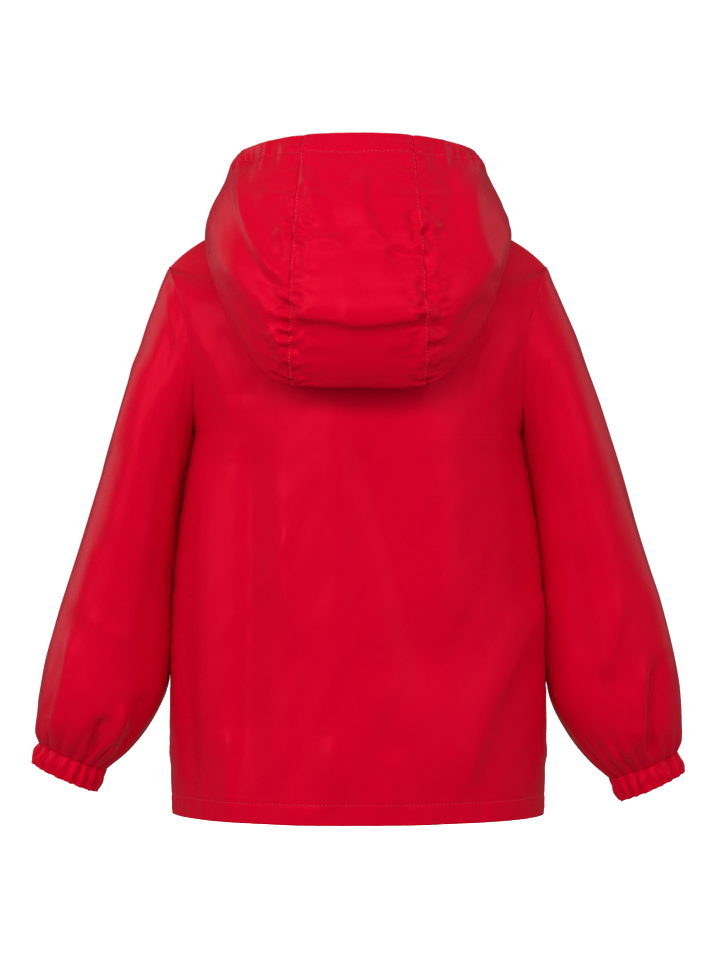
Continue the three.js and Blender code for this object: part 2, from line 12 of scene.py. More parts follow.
import bpy
import numpy as np
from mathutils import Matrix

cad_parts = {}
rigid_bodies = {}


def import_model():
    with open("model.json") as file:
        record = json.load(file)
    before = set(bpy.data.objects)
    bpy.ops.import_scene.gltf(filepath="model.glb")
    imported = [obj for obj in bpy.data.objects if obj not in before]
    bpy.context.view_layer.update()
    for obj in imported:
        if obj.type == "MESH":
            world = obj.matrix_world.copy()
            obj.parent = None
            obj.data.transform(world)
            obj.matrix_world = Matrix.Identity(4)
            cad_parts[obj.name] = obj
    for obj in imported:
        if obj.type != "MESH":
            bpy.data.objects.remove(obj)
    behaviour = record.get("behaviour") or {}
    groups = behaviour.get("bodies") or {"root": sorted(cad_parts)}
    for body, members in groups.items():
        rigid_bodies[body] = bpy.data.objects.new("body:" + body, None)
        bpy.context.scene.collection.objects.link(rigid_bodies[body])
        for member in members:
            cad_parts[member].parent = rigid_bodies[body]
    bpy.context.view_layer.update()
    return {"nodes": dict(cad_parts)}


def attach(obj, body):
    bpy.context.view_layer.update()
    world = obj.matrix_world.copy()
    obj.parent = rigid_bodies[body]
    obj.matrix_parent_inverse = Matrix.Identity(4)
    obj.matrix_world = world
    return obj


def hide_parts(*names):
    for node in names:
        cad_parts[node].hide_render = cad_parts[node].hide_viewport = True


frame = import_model()
GARMENT = "garment"

# %% [markdown]
# ## Sizes by rows
#
# A pattern cutter grades a garment by a short table of widths and heights. Here too each form is
# a table of a few rows, read between its rows on a smooth curve. It could also be a lattice or a
# sculpted mesh, but a table keeps every size readable, in millimetres as on a paper pattern.

# %% Tables that are read between their rows
MM = 0.001


class Table:
    """Rows of named columns. Between rows a column follows a Catmull-Rom curve: the cubic through
    two rows whose slopes there are those of the lines between each row's neighbours."""

    def __init__(self, names, *rows):
        self.columns = dict(zip(names.split(), np.array(rows, float).T))

    def at(self, name, place):
        """A column's value at a place, where 0 is the first row, 1 the second, and so on."""
        values = self.columns[name]
        before = 2 * values[0] - values[1]
        after = 2 * values[-1] - values[-2]
        padded = np.concatenate([[before], values, [after]])
        place = np.asarray(place, float)
        row = np.clip(np.floor(place).astype(int), 0, len(values) - 2)
        k = place - row
        a, b, c, d = (padded[row + i] for i in range(4))
        return b + 0.5 * k * (c - a + k * (2 * a - 5 * b + 4 * c - d + k * (3 * (b - c) + d - a)))


print("a table's sizes are in units of", MM, "m")

# %% The body's rows
TORSO_ROWS = (
    (158, -500, 97, -500, -99, -500, 90),  # hem
    (160, -435, 97, -435, -99, -435, 90),  # hip
    (159, -360, 95, -360, -98, -360, 90),  # waist
    (154.5, -270, 93, -270, -97, -270, 90),  # ribs
    (141, -178, 92, -178, -95, -178, 86),  # underarm
    (161, -37, 82, -60, -77, -64, 60),  # shoulder tip
    (66, 12, 58, -5, -62, -50, 90),  # neck
)
TORSO_COLUMNS = "edge_x edge_z back_y back_z front_y front_z turn"
TORSO = Table(TORSO_COLUMNS, *TORSO_ROWS)
SIDE_SEAM = Table(TORSO_COLUMNS, *TORSO_ROWS[:5])
UNDERARM, SHOULDER, NECK = 4, 5, 6
SHOULDER_BEND = (135, -5.5)  # the point that the shoulder seam's curve is drawn towards
print("hem to neck:", TORSO_ROWS[NECK][1] - TORSO_ROWS[0][1], "mm")

# %% The rows of a sleeve and a cuff
SLEEVE_COLUMNS = "outer_x outer_z inner_x inner_z depth centre_y dish gather"
SLEEVE = Table(
    SLEEVE_COLUMNS,
    (161, -37, 141, -178, 52, 0, 11, 0),  # armhole
    (171, -64, 144.5, -187, 52, 0, 7, 0),  # cap
    (184, -98, 147, -202, 53, -1, 3, 0),  # upper arm
    (202, -149, 150.5, -225, 54, -2, 0, 0),  # biceps
    (218, -200, 154.6, -255, 54, -3, 0, 0),  # above the elbow
    (233, -251, 158, -292, 54, -4, 0, 0),  # elbow
    (249, -302, 160.5, -330, 54, -5, 0, 0),  # forearm
    (264, -353, 162.5, -365, 54, -6, 0, 0),  # lower arm
    (272, -391, 166, -398, 53, -7, 0, 0),  # fullest
    (275, -416, 178, -424, 49, -8, 0, 0.3),  # turning in
    (274.5, -431, 197, -447, 39, -8, 0, 1.9),  # gathered
    (271, -441, 215, -463, 27, -8, 0, 1.8),  # cuff seam
)
SLEEVE_END = 11
CUFF = Table(
    SLEEVE_COLUMNS,
    (271, -441, 215, -463, 27, -8, 0, 1.8),  # seam
    (275, -450, 218.5, -473, 27.5, -8, 0, 2.7),  # middle
    (277, -458, 223, -482, 26, -8, 0, 2.3),  # wrist
)
CUFF_END = 2
RIGHT_CUFF_DROP = 8  # how much lower the right cuff hangs
LEFT_SWING, RIGHT_SWING = -2.5, 3.5  # how far out the middle of each sleeve's outer side swings
GATHERS = 18
print("gathers round a cuff:", GATHERS)

# %% The rows of the hood
HOOD = Table(
    "side back_y front_y back_z side_z front_z drape",
    (66, 58, 62, -5, 12, -50, 0),  # neck seam
    (72, 67, 63, 4, 22, -44, 0.2),  # lift
    (98, 93, 65, -60, 15, -36, 0.8),  # inside the pouch
    (125, 119, 67, -142, 10, -28, 1),  # lowest fold
    (128, 150, 69, -80, 13, -20, 1),  # bulge
    (117, 127, 72, 0, 30, -12, 0.8),  # upper
    (103, 85, 75, 69, 56, -5, 0),  # rim
)
RIM = 6
HOOD_SEAM = np.radians(26)  # the angle of the two seams from the middle of the back
DRAPE_SPREAD = np.radians(72)  # the angle at which the pouch has mostly ended
DRAPE_POWER = 3.5  # how square the pouch's own bell shape is
SQUARE = 0.4  # how much squarer than an ellipse a draped row is
print("the hood's pouch hangs down to", HOOD.columns["back_z"].min(), "mm")

# %% [markdown]
# ## The bare forms
#
# Each cloth piece is one surface of two parameters: how far across it, and how far along it. A
# body row is part of an ellipse from side seam to side seam, a sleeve row is a closed ring, and a
# hood row runs round the neck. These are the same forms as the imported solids, so the new pieces
# lie just where the solids are.


# %% Rings of the sleeves and cuffs
def stacked(x, y, z):
    """Points from their three coordinates, each an array or a number."""
    return np.stack(np.broadcast_arrays(x, y, z), -1).astype(float)


def gather_wave(angle):
    """Ridges round a gathered edge: the absolute value of a half-speed cosine makes them
    rounded outside and sharp inside, and a slow sine makes their spacing uneven."""
    ridge = np.abs(np.cos(GATHERS * angle / 2 + 0.3 * np.sin(3 * angle)))
    uneven = 1 + 0.35 * np.sin(5 * angle + 1) * np.cos(2 * angle)
    return (1.6 * ridge - 0.9) * uneven


def ring_point(table, angle, row, drop=0, swing=0):
    """A ring: an ellipse whose long axis runs from the inner to the outer point. The dish draws
    its front and back towards the body, and the gather wave makes it longer and shorter. Swing
    moves the outer point out by a squared sine that is fullest halfway down the table."""
    out = swing * np.sin(np.pi * row / (len(table.columns["depth"]) - 1)) ** 2
    reach_x = (table.at("outer_x", row) + out - table.at("inner_x", row)) / 2
    reach_z = (table.at("outer_z", row) - table.at("inner_z", row)) / 2
    reach = np.hypot(reach_x, reach_z)
    wave = table.at("gather", row) * gather_wave(angle)
    dish = table.at("dish", row) * np.sin(angle) ** 2
    turned = 1 + np.cos(angle) * (1 + wave / reach)
    return stacked(
        table.at("inner_x", row) + reach_x * turned - dish * reach_z / reach,
        table.at("centre_y", row) + (table.at("depth", row) + wave) * np.sin(angle),
        table.at("inner_z", row) + reach_z * turned + dish * reach_x / reach - drop,
    )


print("the armhole's top:", ring_point(SLEEVE, 0.0, 0), "mm")

# %% The body's edges and rows
EASE_REACH, EASE_SPREAD = 0.3, 0.8  # rows over which the corner under the arm is eased
EASE_POWER = 6  # how close to the edge the cloth still follows it


def body_edge(face, row):
    """The body's left edge: the side seam, then the armhole, which is the sleeve's first ring,
    then the shoulder seam, a quadratic curve from the tip to the neck."""
    below = np.minimum(row, UNDERARM)
    side = stacked(SIDE_SEAM.at("edge_x", below), 0, SIDE_SEAM.at("edge_z", below))
    armhole = ring_point(SLEEVE, face * np.pi * (SHOULDER - row), 0 * row)
    k = np.clip(row - SHOULDER, 0, 1)[..., None]
    tip, neck = (np.array([TORSO_ROWS[i][0], 0, TORSO_ROWS[i][1]]) for i in (SHOULDER, NECK))
    bend = np.array([SHOULDER_BEND[0], 0, SHOULDER_BEND[1]])
    shoulder = (1 - k) ** 2 * tip + 2 * k * (1 - k) * bend + k * k * neck
    row = row[..., None]
    return np.where(row > SHOULDER, shoulder, np.where(row > UNDERARM, armhole, side))


def eased_edge(face, across, row):
    """The edge as the cloth follows it. At the edge itself it is the edge, and inside it is the
    mean of nearby rows, so that the corner under the arm makes no crease across the body."""
    reach = EASE_REACH * np.exp(-(((row - UNDERARM) / EASE_SPREAD) ** 2))
    steps = (-1, -0.5, 0, 0.5, 1)
    nearby = [body_edge(face, np.clip(row + step * reach, 0, NECK)) for step in steps]
    mean = sum(nearby) / len(nearby)
    return mean + (body_edge(face, row) - mean) * (np.abs(across) ** EASE_POWER)[..., None]


def body_point(face, across, row):
    """The back (face 1) or the front (face -1). Across is -1 at the right edge and 1 at the left.
    Each row is the part of an ellipse within the row's turn, from its edge to its centre."""
    across, row = np.broadcast_arrays(across, np.asarray(row, float))
    edge = eased_edge(face, across, row)
    centre = "back" if face > 0 else "front"
    turn = np.radians(TORSO.at("turn", row))
    bow = (np.cos(across * turn) - np.cos(turn)) / (1 - np.cos(turn))
    return stacked(
        edge[..., 0] * np.sin(across * turn) / np.sin(turn),
        edge[..., 1] + (TORSO.at(f"{centre}_y", row) - edge[..., 1]) * bow,
        edge[..., 2] + (TORSO.at(f"{centre}_z", row) - edge[..., 2]) * bow,
    )


def body_across(x, row):
    """Where across a front row a distance from the centre line lies, the inverse of its x."""
    row = np.asarray(row, float)
    turn = np.radians(TORSO.at("turn", row))
    return np.arcsin(x * np.sin(turn) / body_edge(-1, row)[..., 0]) / turn


print("the hem's left corner:", body_edge(1, np.array(0.0)), "mm")


# %% The hood's rows
def hood_point(angle, row):
    """The hood. The angle is 0 at the middle of the back and half a turn at the front. A plain
    row is a tilted ellipse; a draped one hangs as a bell-shaped pouch and is squarer."""
    drape = np.clip(HOOD.at("drape", row), 0, 1)
    cosine = np.cos(angle)
    hanging = np.exp(-((np.abs(angle) / DRAPE_SPREAD) ** DRAPE_POWER))
    back, side, front = (HOOD.at(f"{part}_z", row) for part in ("back", "side", "front"))
    behind = np.maximum(cosine, 0) * (1 - drape) + hanging * drape
    rounded = np.maximum(cosine, 0) ** (1 - SQUARE * drape)
    return stacked(
        HOOD.at("side", row) * np.sin(angle),
        np.where(cosine > 0, HOOD.at("back_y", row) * rounded, HOOD.at("front_y", row) * cosine),
        side + (back - side) * behind + (front - side) * np.maximum(-cosine, 0),
    )


def hood_front(x, row):
    """The angle at which the hood's front lies this far from the centre line."""
    return np.pi - np.arcsin(x / HOOD.at("side", row))


print("half the hood's rim:", hood_point(np.pi / 2, RIM)[0], "mm")

# %% [markdown]
# ## Folds
#
# Thin coated cloth keeps soft, shallow folds with a few crisp edges. They could come from a cloth
# simulation, but placed one by one they lie where the photograph shows them. A fold runs from one
# place to another, and the cloth rises or sinks across it as a bell. Slow random waves and short
# puckers beside the seams make the rest uneven.


# %% Random waves, puckers and seams
def smooth(k):
    """A step from 0 to 1 that starts and ends level, three k squared less two k cubed."""
    k = np.clip(k, 0, 1)
    return k * k * (3 - 2 * k)


def wander(place, seed):
    """A smooth random line from -1 to 1, with a new height at each whole number of place."""
    heights = np.random.default_rng(seed).uniform(-1, 1, 512)
    below = np.floor(place).astype(int)
    k = smooth(place - below)
    return heights[below % 512] * (1 - k) + heights[(below + 1) % 512] * k


def waves(across, along, seed):
    """Smooth random hills from -1 to 1, one height at each whole number of both places. A number
    added to a place only moves to another part of the hills."""
    heights = np.random.default_rng(seed).uniform(-1, 1, (64, 64))
    i, j = np.floor(across).astype(int), np.floor(along).astype(int)
    k, m = smooth(across - i), smooth(along - j)
    low = heights[i % 64, j % 64] * (1 - k) + heights[(i + 1) % 64, j % 64] * k
    high = heights[i % 64, (j + 1) % 64] * (1 - k) + heights[(i + 1) % 64, (j + 1) % 64] * k
    return low * (1 - m) + high * m


def puckers(along, away, spacing, reach, height, seed):
    """Short folds at right angles to a seam: a random line along it, times k e to the 1 - k,
    where k is the distance away over the reach, so that they are highest there."""
    line = wander(along / spacing, seed) + 0.5 * wander(along / spacing * 2.3, seed + 1)
    rise = (away / reach) * np.exp(1 - away / reach)
    return height * line * rise


def valley(away, depth, width):
    """The groove of a seam: a bell that is deepest at the seam."""
    return -depth * np.exp(-((away / width) ** 2))


print("the start of a random line:", wander(np.arange(4), 83).round(2))

# %% The height of a table of folds
FOLD_FADE = 0.3  # share of a fold's length over which each end fades
PAST_END = 0.1  # share of its length by which a fold runs on past each end
CREST = 1.8  # how round a fold's crest is: 2 is a bell, 1 comes to an edge


def folds(*rows):
    """A table of folds, as one array for each named column."""
    names = "from_x from_z to_x to_z bow before after height".split()
    return dict(zip(names, np.array(rows, float).T))


def fold_height(table, x, z):
    """The sum of all folds at a place seen along Y. Along a fold its ends fade by smooth steps.
    Across it the height is e to minus a power of the distance over the width, which is one before
    the crest and another after it. A parabola bows the crest aside. Seen going down, after is
    towards the wearer's right."""
    x, z = x[..., None], z[..., None]
    run_x = table["to_x"] - table["from_x"]
    run_z = table["to_z"] - table["from_z"]
    length = np.hypot(run_x, run_z)
    from_x = x - table["from_x"]
    from_z = z - table["from_z"]
    along = (from_x * run_x + from_z * run_z) / length**2
    within = np.clip(along, 0, 1)
    bow = 4 * within * (1 - within) * table["bow"]
    aside = (from_x * run_z - from_z * run_x) / length - bow
    width = np.where(aside < 0, table["before"], table["after"])
    ends = smooth((along + PAST_END) / FOLD_FADE) * smooth((1 + PAST_END - along) / FOLD_FADE)
    return np.sum(table["height"] * ends * np.exp(-(np.abs(aside / width) ** CREST)), -1)


# %% Folds of the back and the fronts
BACK_FOLDS = folds(
    (126, -190, 128, -440, 0, 14, 13, 4.4),
    (92, -180, 96, -470, 2, 10, 22, -7.0),
    (64, -215, 58, -330, 0, 12, 10, 2.2),
    (18, -130, 14, -400, 0, 13, 12, 2.8),
    (57, -258, 90, -312, 3, 4, 9, 2.2),
    (2, -180, -54, -390, 5, 15, 24, -5.4),
    (-64, -150, -70, -350, 0, 32, 34, 5.0),
    (-26, -380, 26, -476, 4, 22, 16, 2.8),
    (-132, -170, -140, -320, 0, 11, 12, -2.2),
    (-154, -316, -84, -474, -6, 34, 12, 6.4),
    (52, -340, 44, -480, 0, 12, 16, -2.6),
    (106, -425, 109, -490, 0, 6, 7, 2.4),
    (22, -430, 24, -490, 0, 6, 8, 2.0),
    (-30, -440, -27, -490, 0, 9, 9, 1.8),
    (132, -98, 103, -172, 3, 6, 9, 2.2),
    (118, -90, 92, -150, 3, 7, 9, -1.8),
    (-138, -92, -110, -156, -3, 8, 6, 2.2),
    (-120, -86, -96, -140, -3, 8, 6, -1.8),
    (146, -330, 138, -480, 0, 8, 9, -2.0),
)
FRONT_FOLDS = folds(
    (112, -205, 104, -440, 0, 16, 18, 3.9),
    (70, -230, 62, -460, 3, 16, 14, -3.6),
    (34, -150, 28, -330, 0, 10, 14, 2.2),
    (134, -110, 104, -190, 3, 6, 9, 2.1),
    (118, -98, 86, -160, 3, 7, 9, -2.0),
    (60, -290, 90, -335, 2, 5, 9, 2.2),
    (-118, -220, -100, -450, 0, 18, 16, 3.9),
    (-74, -250, -58, -450, -3, 14, 16, -3.6),
    (-36, -160, -30, -360, 0, 12, 10, 2.2),
    (-136, -112, -108, -186, -3, 8, 6, 2.1),
    (-116, -96, -84, -158, -3, 8, 6, -2.0),
    (-150, -330, -92, -480, -5, 18, 11, -4.8),
    (102, -430, 106, -490, 0, 7, 7, 2.1),
    (-46, -436, -42, -490, 0, 7, 8, 2.0),
)
print("folds of the body:", len(BACK_FOLDS["height"]) + len(FRONT_FOLDS["height"]))

# %% Folds of the sleeves
SLEEVE_BACK_FOLDS = folds(
    (241, -345, 261, -436, 3, 5, 9, 3.6),
    (212, -416, 227, -460, -2, 5, 4, -6.0),
    (197, -408, 219, -458, 3, 4, 9, 6.0),
    (178, -398, 204, -452, 0, 5, 6, -3.0),
    (228, -330, 190, -352, 0, 9, 5, 1.3),
    (162, -46, 151, -106, 0, 5, 6, 2.2),
    (146, -64, 168, -136, 0, 6, 7, -2.2),
    (186, -110, 206, -190, 3, 5, 9, 2.8),
    (174, -120, 212, -285, 4, 15, 20, 2.4),
    (172, -280, 200, -402, 3, 14, 16, -2.4),
    (222, -270, 238, -330, 2, 8, 10, 2.0),
    (-252, -366, -249, -458, -3, 5, 8, -5.6),
    (-240, -372, -238, -440, 0, 6, 6, 3.2),
    (-218, -312, -204, -384, 2, 10, 8, 3.0),
    (-182, -276, -187, -366, 0, 12, 12, -2.6),
    (-206, -372, -212, -448, 0, 7, 9, -3.6),
    (-226, -390, -228, -452, 0, 6, 6, 2.6),
    (-168, -88, -203, -222, -4, 18, 16, 2.6),
    (-152, -128, -168, -252, 0, 10, 11, -2.2),
    (-244, -300, -262, -392, 2, 9, 8, 2.2),
)
SLEEVE_FRONT_FOLDS = folds(
    (236, -336, 250, -442, 2, 7, 8, 3.9),
    (202, -396, 222, -458, 0, 7, 7, -5.5),
    (176, -96, 206, -250, 4, 15, 18, 2.9),
    (160, -190, 188, -330, 3, 12, 14, -2.9),
    (214, -280, 234, -350, 2, 9, 10, 2.3),
    (-240, -345, -252, -446, -2, 8, 8, 3.6),
    (-212, -396, -230, -462, 0, 7, 8, -5.5),
    (-172, -100, -200, -240, -4, 17, 16, 2.9),
    (-164, -200, -184, -340, -3, 12, 12, -2.9),
    (-226, -270, -244, -350, 2, 9, 9, 2.3),
)
for sleeve_folds in (SLEEVE_BACK_FOLDS, SLEEVE_FRONT_FOLDS):
    print("folds of the sleeves:", len(sleeve_folds["height"]))

# %% Folds of the hood
HOOD_FOLDS = folds(
    (54, -85, 2, -91, 1, 4, 24, 5.0),
    (8, -92, -60, -84, -1, 4, 24, 5.2),
    (30, 34, 16, -24, 2, 5, 22, -3.4),
    (50, -26, 12, -21, 0, 9, 4, 3.8),
    (44, 34, 36, -10, 2, 5, 5, 3.2),
    (26, 38, 23, -2, 0, 4, 6, 1.8),
    (-6, 36, -22, -26, -9, 16, 4, 4.2),
    (-24, -30, -62, -36, -2, 12, 4, -4.0),
    (-46, -52, -50, -78, 4, 8, 5, -2.6),
    (-76, 40, -82, -22, 0, 20, 5, -2.8),
    (-96, 30, -112, -48, -6, 10, 8, 3.0),
    (99, 40, 66, -54, -7, 4, 4, 4.6),
    (97, 20, 62, -60, -7, 18, 7, 2.0),
    (80, 22, 60, -26, 6, 14, 10, 2.6),
    (116, -30, 54, -130, 4, 8, 14, 3.0),
    (99, -22, 48, -106, 4, 8, 8, -2.6),
    (-116, -30, -57, -134, -4, 13, 8, 3.0),
    (-106, -70, -66, -114, -2, 8, 8, -2.8),
    (80, -60, 60, -120, 2, 7, 8, 1.8),
)
print("folds of the hood:", len(HOOD_FOLDS["height"]))

# %% [markdown]
# ## Cloth as a thin closed wall
#
# Real rain-jacket cloth is about a third of a millimetre thick, and a turned-in hem is three
# layers. A Solidify modifier would give one thickness all over, so the wall is worked out here:
# the outer points, the same points moved in by the thickness, and a rounded edge between them.
# The cloth's own measure along and across the piece is kept as its UV map, in metres, so that
# weave and sewing follow the cloth.

# %% Directions out of a surface, and lengths along it
PROBE = 1e-3  # how far apart, in its own two parameters, a surface's slopes are measured


def out_of(surface, a, b, facing):
    """Unit directions out of a surface: the cross product of its two slopes."""
    across = surface(a + PROBE, b) - surface(a - PROBE, b)
    along = surface(a, b + PROBE) - surface(a, b - PROBE)
    out = np.cross(across, along) * facing
    return out / np.maximum(np.linalg.norm(out, axis=-1, keepdims=True), 1e-12)


def raised(surface, facing, height):
    """The surface moved out along its own normals by a height worked out at each point."""

    def finished(a, b):
        points = surface(a, b)
        rise = height(points, a, b)
        return points + out_of(surface, a, b, facing) * rise[..., None]

    return finished


def measure(points, axis):
    """Distance along the cloth from its first row or column: summed lengths of the steps."""
    steps = np.linalg.norm(np.diff(points, axis=axis), axis=-1)
    start = np.zeros_like(np.take(steps, [0], axis=axis))
    return np.concatenate([start, np.cumsum(steps, axis=axis)], axis=axis)


# %% Objects from whole arrays
def new_object(name, vertices, faces, uv=None, flat_faces=()):
    """An object at the origin whose mesh, given in millimetres, is put in by whole arrays."""
    mesh = bpy.data.meshes.new(name)
    mesh.vertices.add(len(vertices))
    mesh.vertices.foreach_set("co", (np.asarray(vertices) * MM).ravel())
    faces = np.asarray(faces)
    mesh.loops.add(faces.size)
    mesh.loops.foreach_set("vertex_index", faces.ravel())
    mesh.polygons.add(len(faces))
    mesh.polygons.foreach_set("loop_start", np.arange(len(faces)) * faces.shape[1])
    smooth_faces = np.ones(len(faces), bool)
    smooth_faces[np.asarray(flat_faces, int)] = False
    mesh.polygons.foreach_set("use_smooth", smooth_faces)
    if uv is not None:
        layer = mesh.uv_layers.new(name="cloth")
        layer.data.foreach_set("uv", (np.asarray(uv)[faces.ravel()] * MM).ravel())
    mesh.update()
    mesh.validate()
    piece = bpy.data.objects.new(name, mesh)
    bpy.context.scene.collection.objects.link(piece)
    return piece


def quads(first, second, third, fourth):
    """Faces whose corners are four equal arrays of point numbers."""
    return np.stack([first, second, third, fourth], -1).reshape(-1, 4)


def add_triangles(piece, triangles):
    """Adds a few single faces to a finished mesh."""
    mesh = piece.data
    loops, faces = len(mesh.loops), len(mesh.polygons)
    mesh.loops.add(3 * len(triangles))
    mesh.polygons.add(len(triangles))
    for i, corners in enumerate(triangles):
        mesh.polygons[faces + i].loop_start = loops + 3 * i
        for k, corner in enumerate(corners):
            mesh.loops[loops + 3 * i + k].vertex_index = int(corner)
    mesh.update(calc_edges=True)


# %% The closed wall
EDGE_ROUND = 0.25  # how far a wall's rounded edge stands out, as a share of its last row


def wall_faces(number, rows, around):
    """The faces of a loop of rows with these point numbers, the flat faces that close its two
    sides, and the triangles at their four corners. A wall that goes all round has no sides."""
    down = np.roll(number, -1, axis=0)
    if around:
        return quads(number, np.roll(number, -1, 1), np.roll(down, -1, 1), down), number[:0, :4], []
    faces = quads(number[:, :-1], number[:, 1:], down[:, 1:], down[:, :-1])
    front, back = number[:rows], number[rows + 1 : 2 * rows + 1][::-1]
    left = quads(front[:-1, 0], front[1:, 0], back[1:, 0], back[:-1, 0])
    right = quads(front[1:, -1], front[:-1, -1], back[:-1, -1], back[1:, -1])
    corners = []
    for column, turn in ((0, 1), (-1, -1)):
        corners.append(number[[rows - 1, rows, rows + 1], column][::turn])
        corners.append(number[[0, 2 * rows, 2 * rows + 1], column][::turn])
    return faces, np.concatenate([left, right]), corners


def cloth_wall(name, surface, a, b, facing, thickness, around=False):
    """A closed wall over a grid of b rows and a columns. Down one face and back up the other, the
    grid's rows make a loop: outer rows, a rounded edge, inner rows, a rounded edge. Facing is 1 or
    -1, as in out_of, and the faces turn with it and with the columns' own direction."""
    outer = surface(a, b)
    out = out_of(surface, a, b, facing)
    inner = outer - out * np.broadcast_to(thickness, a.shape)[..., None]
    middle = (outer + inner) / 2
    last_edge = middle[-1] + (middle[-1] - middle[-2]) * EDGE_ROUND
    first_edge = middle[0] + (middle[0] - middle[1]) * EDGE_ROUND
    loop = np.concatenate([outer, last_edge[None], inner[::-1], first_edge[None]])
    rows, columns = a.shape
    number = np.arange(len(loop) * columns).reshape(-1, columns)
    faces, sides, corners = wall_faces(number, rows, around)
    turn = facing if a[0, -1] > a[0, 0] else -facing
    every = np.concatenate([faces, sides])[:, ::turn]
    across = measure(outer, 1)
    flat = np.stack([across - across[:, -1:] / 2, measure(outer, 0)], -1)
    uv = np.concatenate([flat, flat[-1:], flat[::-1], flat[:1]]).reshape(-1, 2)
    piece = new_object(name, loop.reshape(-1, 3), every, uv, range(len(faces), len(every)))
    if corners:
        add_triangles(piece, [corner[::turn] for corner in corners])
    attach(piece, GARMENT)
    print(name, "cells", rows * columns, "area", round(cloth_area(outer, around), 4), "m2")
    return piece


def cloth_area(points, around=False):
    """The grid's area in square metres: half the cross product of each cell's diagonals."""
    if around:
        points = np.concatenate([points, points[:, :1]], 1)
    one = points[1:, 1:] - points[:-1, :-1]
    two = points[1:, :-1] - points[:-1, 1:]
    return float(np.linalg.norm(np.cross(one, two), axis=-1).sum() / 2) * MM**2


def spread(first, last, cells, crowd=0.0):
    """Places from first to last. Crowd draws them towards both ends by adding part of a sine."""
    even = np.linspace(-1, 1, cells + 1)
    drawn = (1 - crowd) * even + crowd * np.sin(even * np.pi / 2)
    return first + (last - first) * (drawn + 1) / 2


# %% [markdown]
# ## Shader arithmetic
#
# A finish is a small sum: so much weave, so much wear. Node trees can be drawn by hand, but as
# Python expressions they can be read. One class wraps a socket, so that 1 - mask adds a Math
# node, and one method adds any other node.


# %% A socket that can be reckoned with
class Value:
    """An output socket of a shader's node that can be reckoned with."""

    def __init__(self, shader, socket):
        self.shader = shader
        self.socket = socket

    def maths(self, operation, *values):
        """A Math node with these values or sockets."""
        return self.shader.node("ShaderNodeMath", {"operation": operation}, dict(enumerate(values)))

    def __add__(self, other):
        return self.maths("ADD", self, other)

    def __sub__(self, other):
        return self.maths("SUBTRACT", self, other)

    def __rsub__(self, other):
        return self.maths("SUBTRACT", other, self)

    def __mul__(self, other):
        return self.maths("MULTIPLY", self, other)

    __radd__ = __add__
    __rmul__ = __mul__


# %% A material and its nodes
class Shader:
    """One material and its nodes."""

    def __init__(self, name):
        self.material = bpy.data.materials.new(name)
        self.material.use_nodes = True
        self.tree = self.material.node_tree
        self.tree.nodes.clear()

    def node(self, kind, settings=None, sockets=None, output=0):
        """A node of this kind with its settings, a ramp's stops among them, and its sockets."""
        node = self.tree.nodes.new(kind)
        for name, setting in (settings or {}).items():
            if name == "stops":
                for element, (place, colour) in zip(node.color_ramp.elements, setting):
                    element.position, element.color = place, colour
            else:
                setattr(node, name, setting)
        for name, value in (sockets or {}).items():
            if isinstance(value, Value):
                self.tree.links.new(value.socket, node.inputs[name])
            else:
                node.inputs[name].default_value = value
        return Value(self, node.outputs[output]) if node.outputs else None

    def mix(self, factor, first, second):
        """A colour between two others."""
        return self.node("ShaderNodeMix", {"data_type": "RGBA"}, {0: factor, 6: first, 7: second}, 2)

    def noise(self, where, scale, detail=2.0, roughness=0.5):
        """Cloudy noise from 0 to 1. Scale is the number of clouds to a metre."""
        sockets = {"Vector": where, "Scale": scale, "Detail": detail, "Roughness": roughness}
        return self.node("ShaderNodeTexNoise", None, sockets)

    def place(self, output):
        """Object or UV coordinates."""
        node = self.node("ShaderNodeTexCoord")
        return Value(self, node.socket.node.outputs[output])

    def parts(self, vector):
        """The three numbers of a vector."""
        split = self.node("ShaderNodeSeparateXYZ", None, {"Vector": vector}).socket.node
        return [Value(self, output) for output in split.outputs]

    def bump(self, height):
        """A normal from a height in metres."""
        sockets = {"Height": height, "Distance": 1.0, "Strength": 1.0}
        return self.node("ShaderNodeBump", None, sockets)

    def surface(self, sockets):
        """Ends the tree with a Principled surface."""
        surface = self.node("ShaderNodeBsdfPrincipled", None, sockets)
        self.node("ShaderNodeOutputMaterial", None, {"Surface": surface})
        return self.material


def wave(place, length):
    """A sine of a place in metres whose waves are this long, from -1 to 1."""
    turned = place * (2 * np.pi / length)
    return turned.maths("SINE", turned)

# %% [markdown]
# ## Red coated cloth
#
# The shell is a close plain weave with a thin coating: saturated red, a soft gloss that stays
# red, and a pale sheen only at grazing angles. The weave is too fine to model, so it is bump on
# the cloth's own measure, and faint crinkles and clouds of colour keep it from looking painted.


# %% The shell's and the cuffs' finish
THREADS = 0.0007  # metres from one thread of the weave to the next


def coated_cloth(name, deep, bright, crinkle, gloss):
    """Colour mixes by cloudy noise; the normal is weave plus crinkles; roughness follows them."""
    shader = Shader(name)
    on_cloth = shader.place("UV")
    in_space = shader.place("Object")
    u, v, _ = shader.parts(on_cloth)
    weave = wave(u, THREADS) * wave(v, THREADS)
    clouds = shader.noise(in_space, 9.0)
    creased = shader.noise(in_space, 85.0, 3.0, 0.55)
    fine = shader.noise(in_space, 420.0)
    height = weave * 0.00001 + creased * crinkle + fine * 0.00002
    return shader.surface({
        "Base Color": shader.mix(clouds * 0.7 + fine * 0.3, deep, bright),
        "Roughness": clouds * 0.06 + creased * 0.08 + gloss,
        "Normal": shader.bump(height),
        "Specular IOR Level": 0.36,
        "Specular Tint": (1.0, 0.03, 0.10, 1.0),
        "Sheen Weight": 0.03,
        "Sheen Roughness": 0.3,
        "Sheen Tint": (1.0, 0.35, 0.45, 1.0),
    })


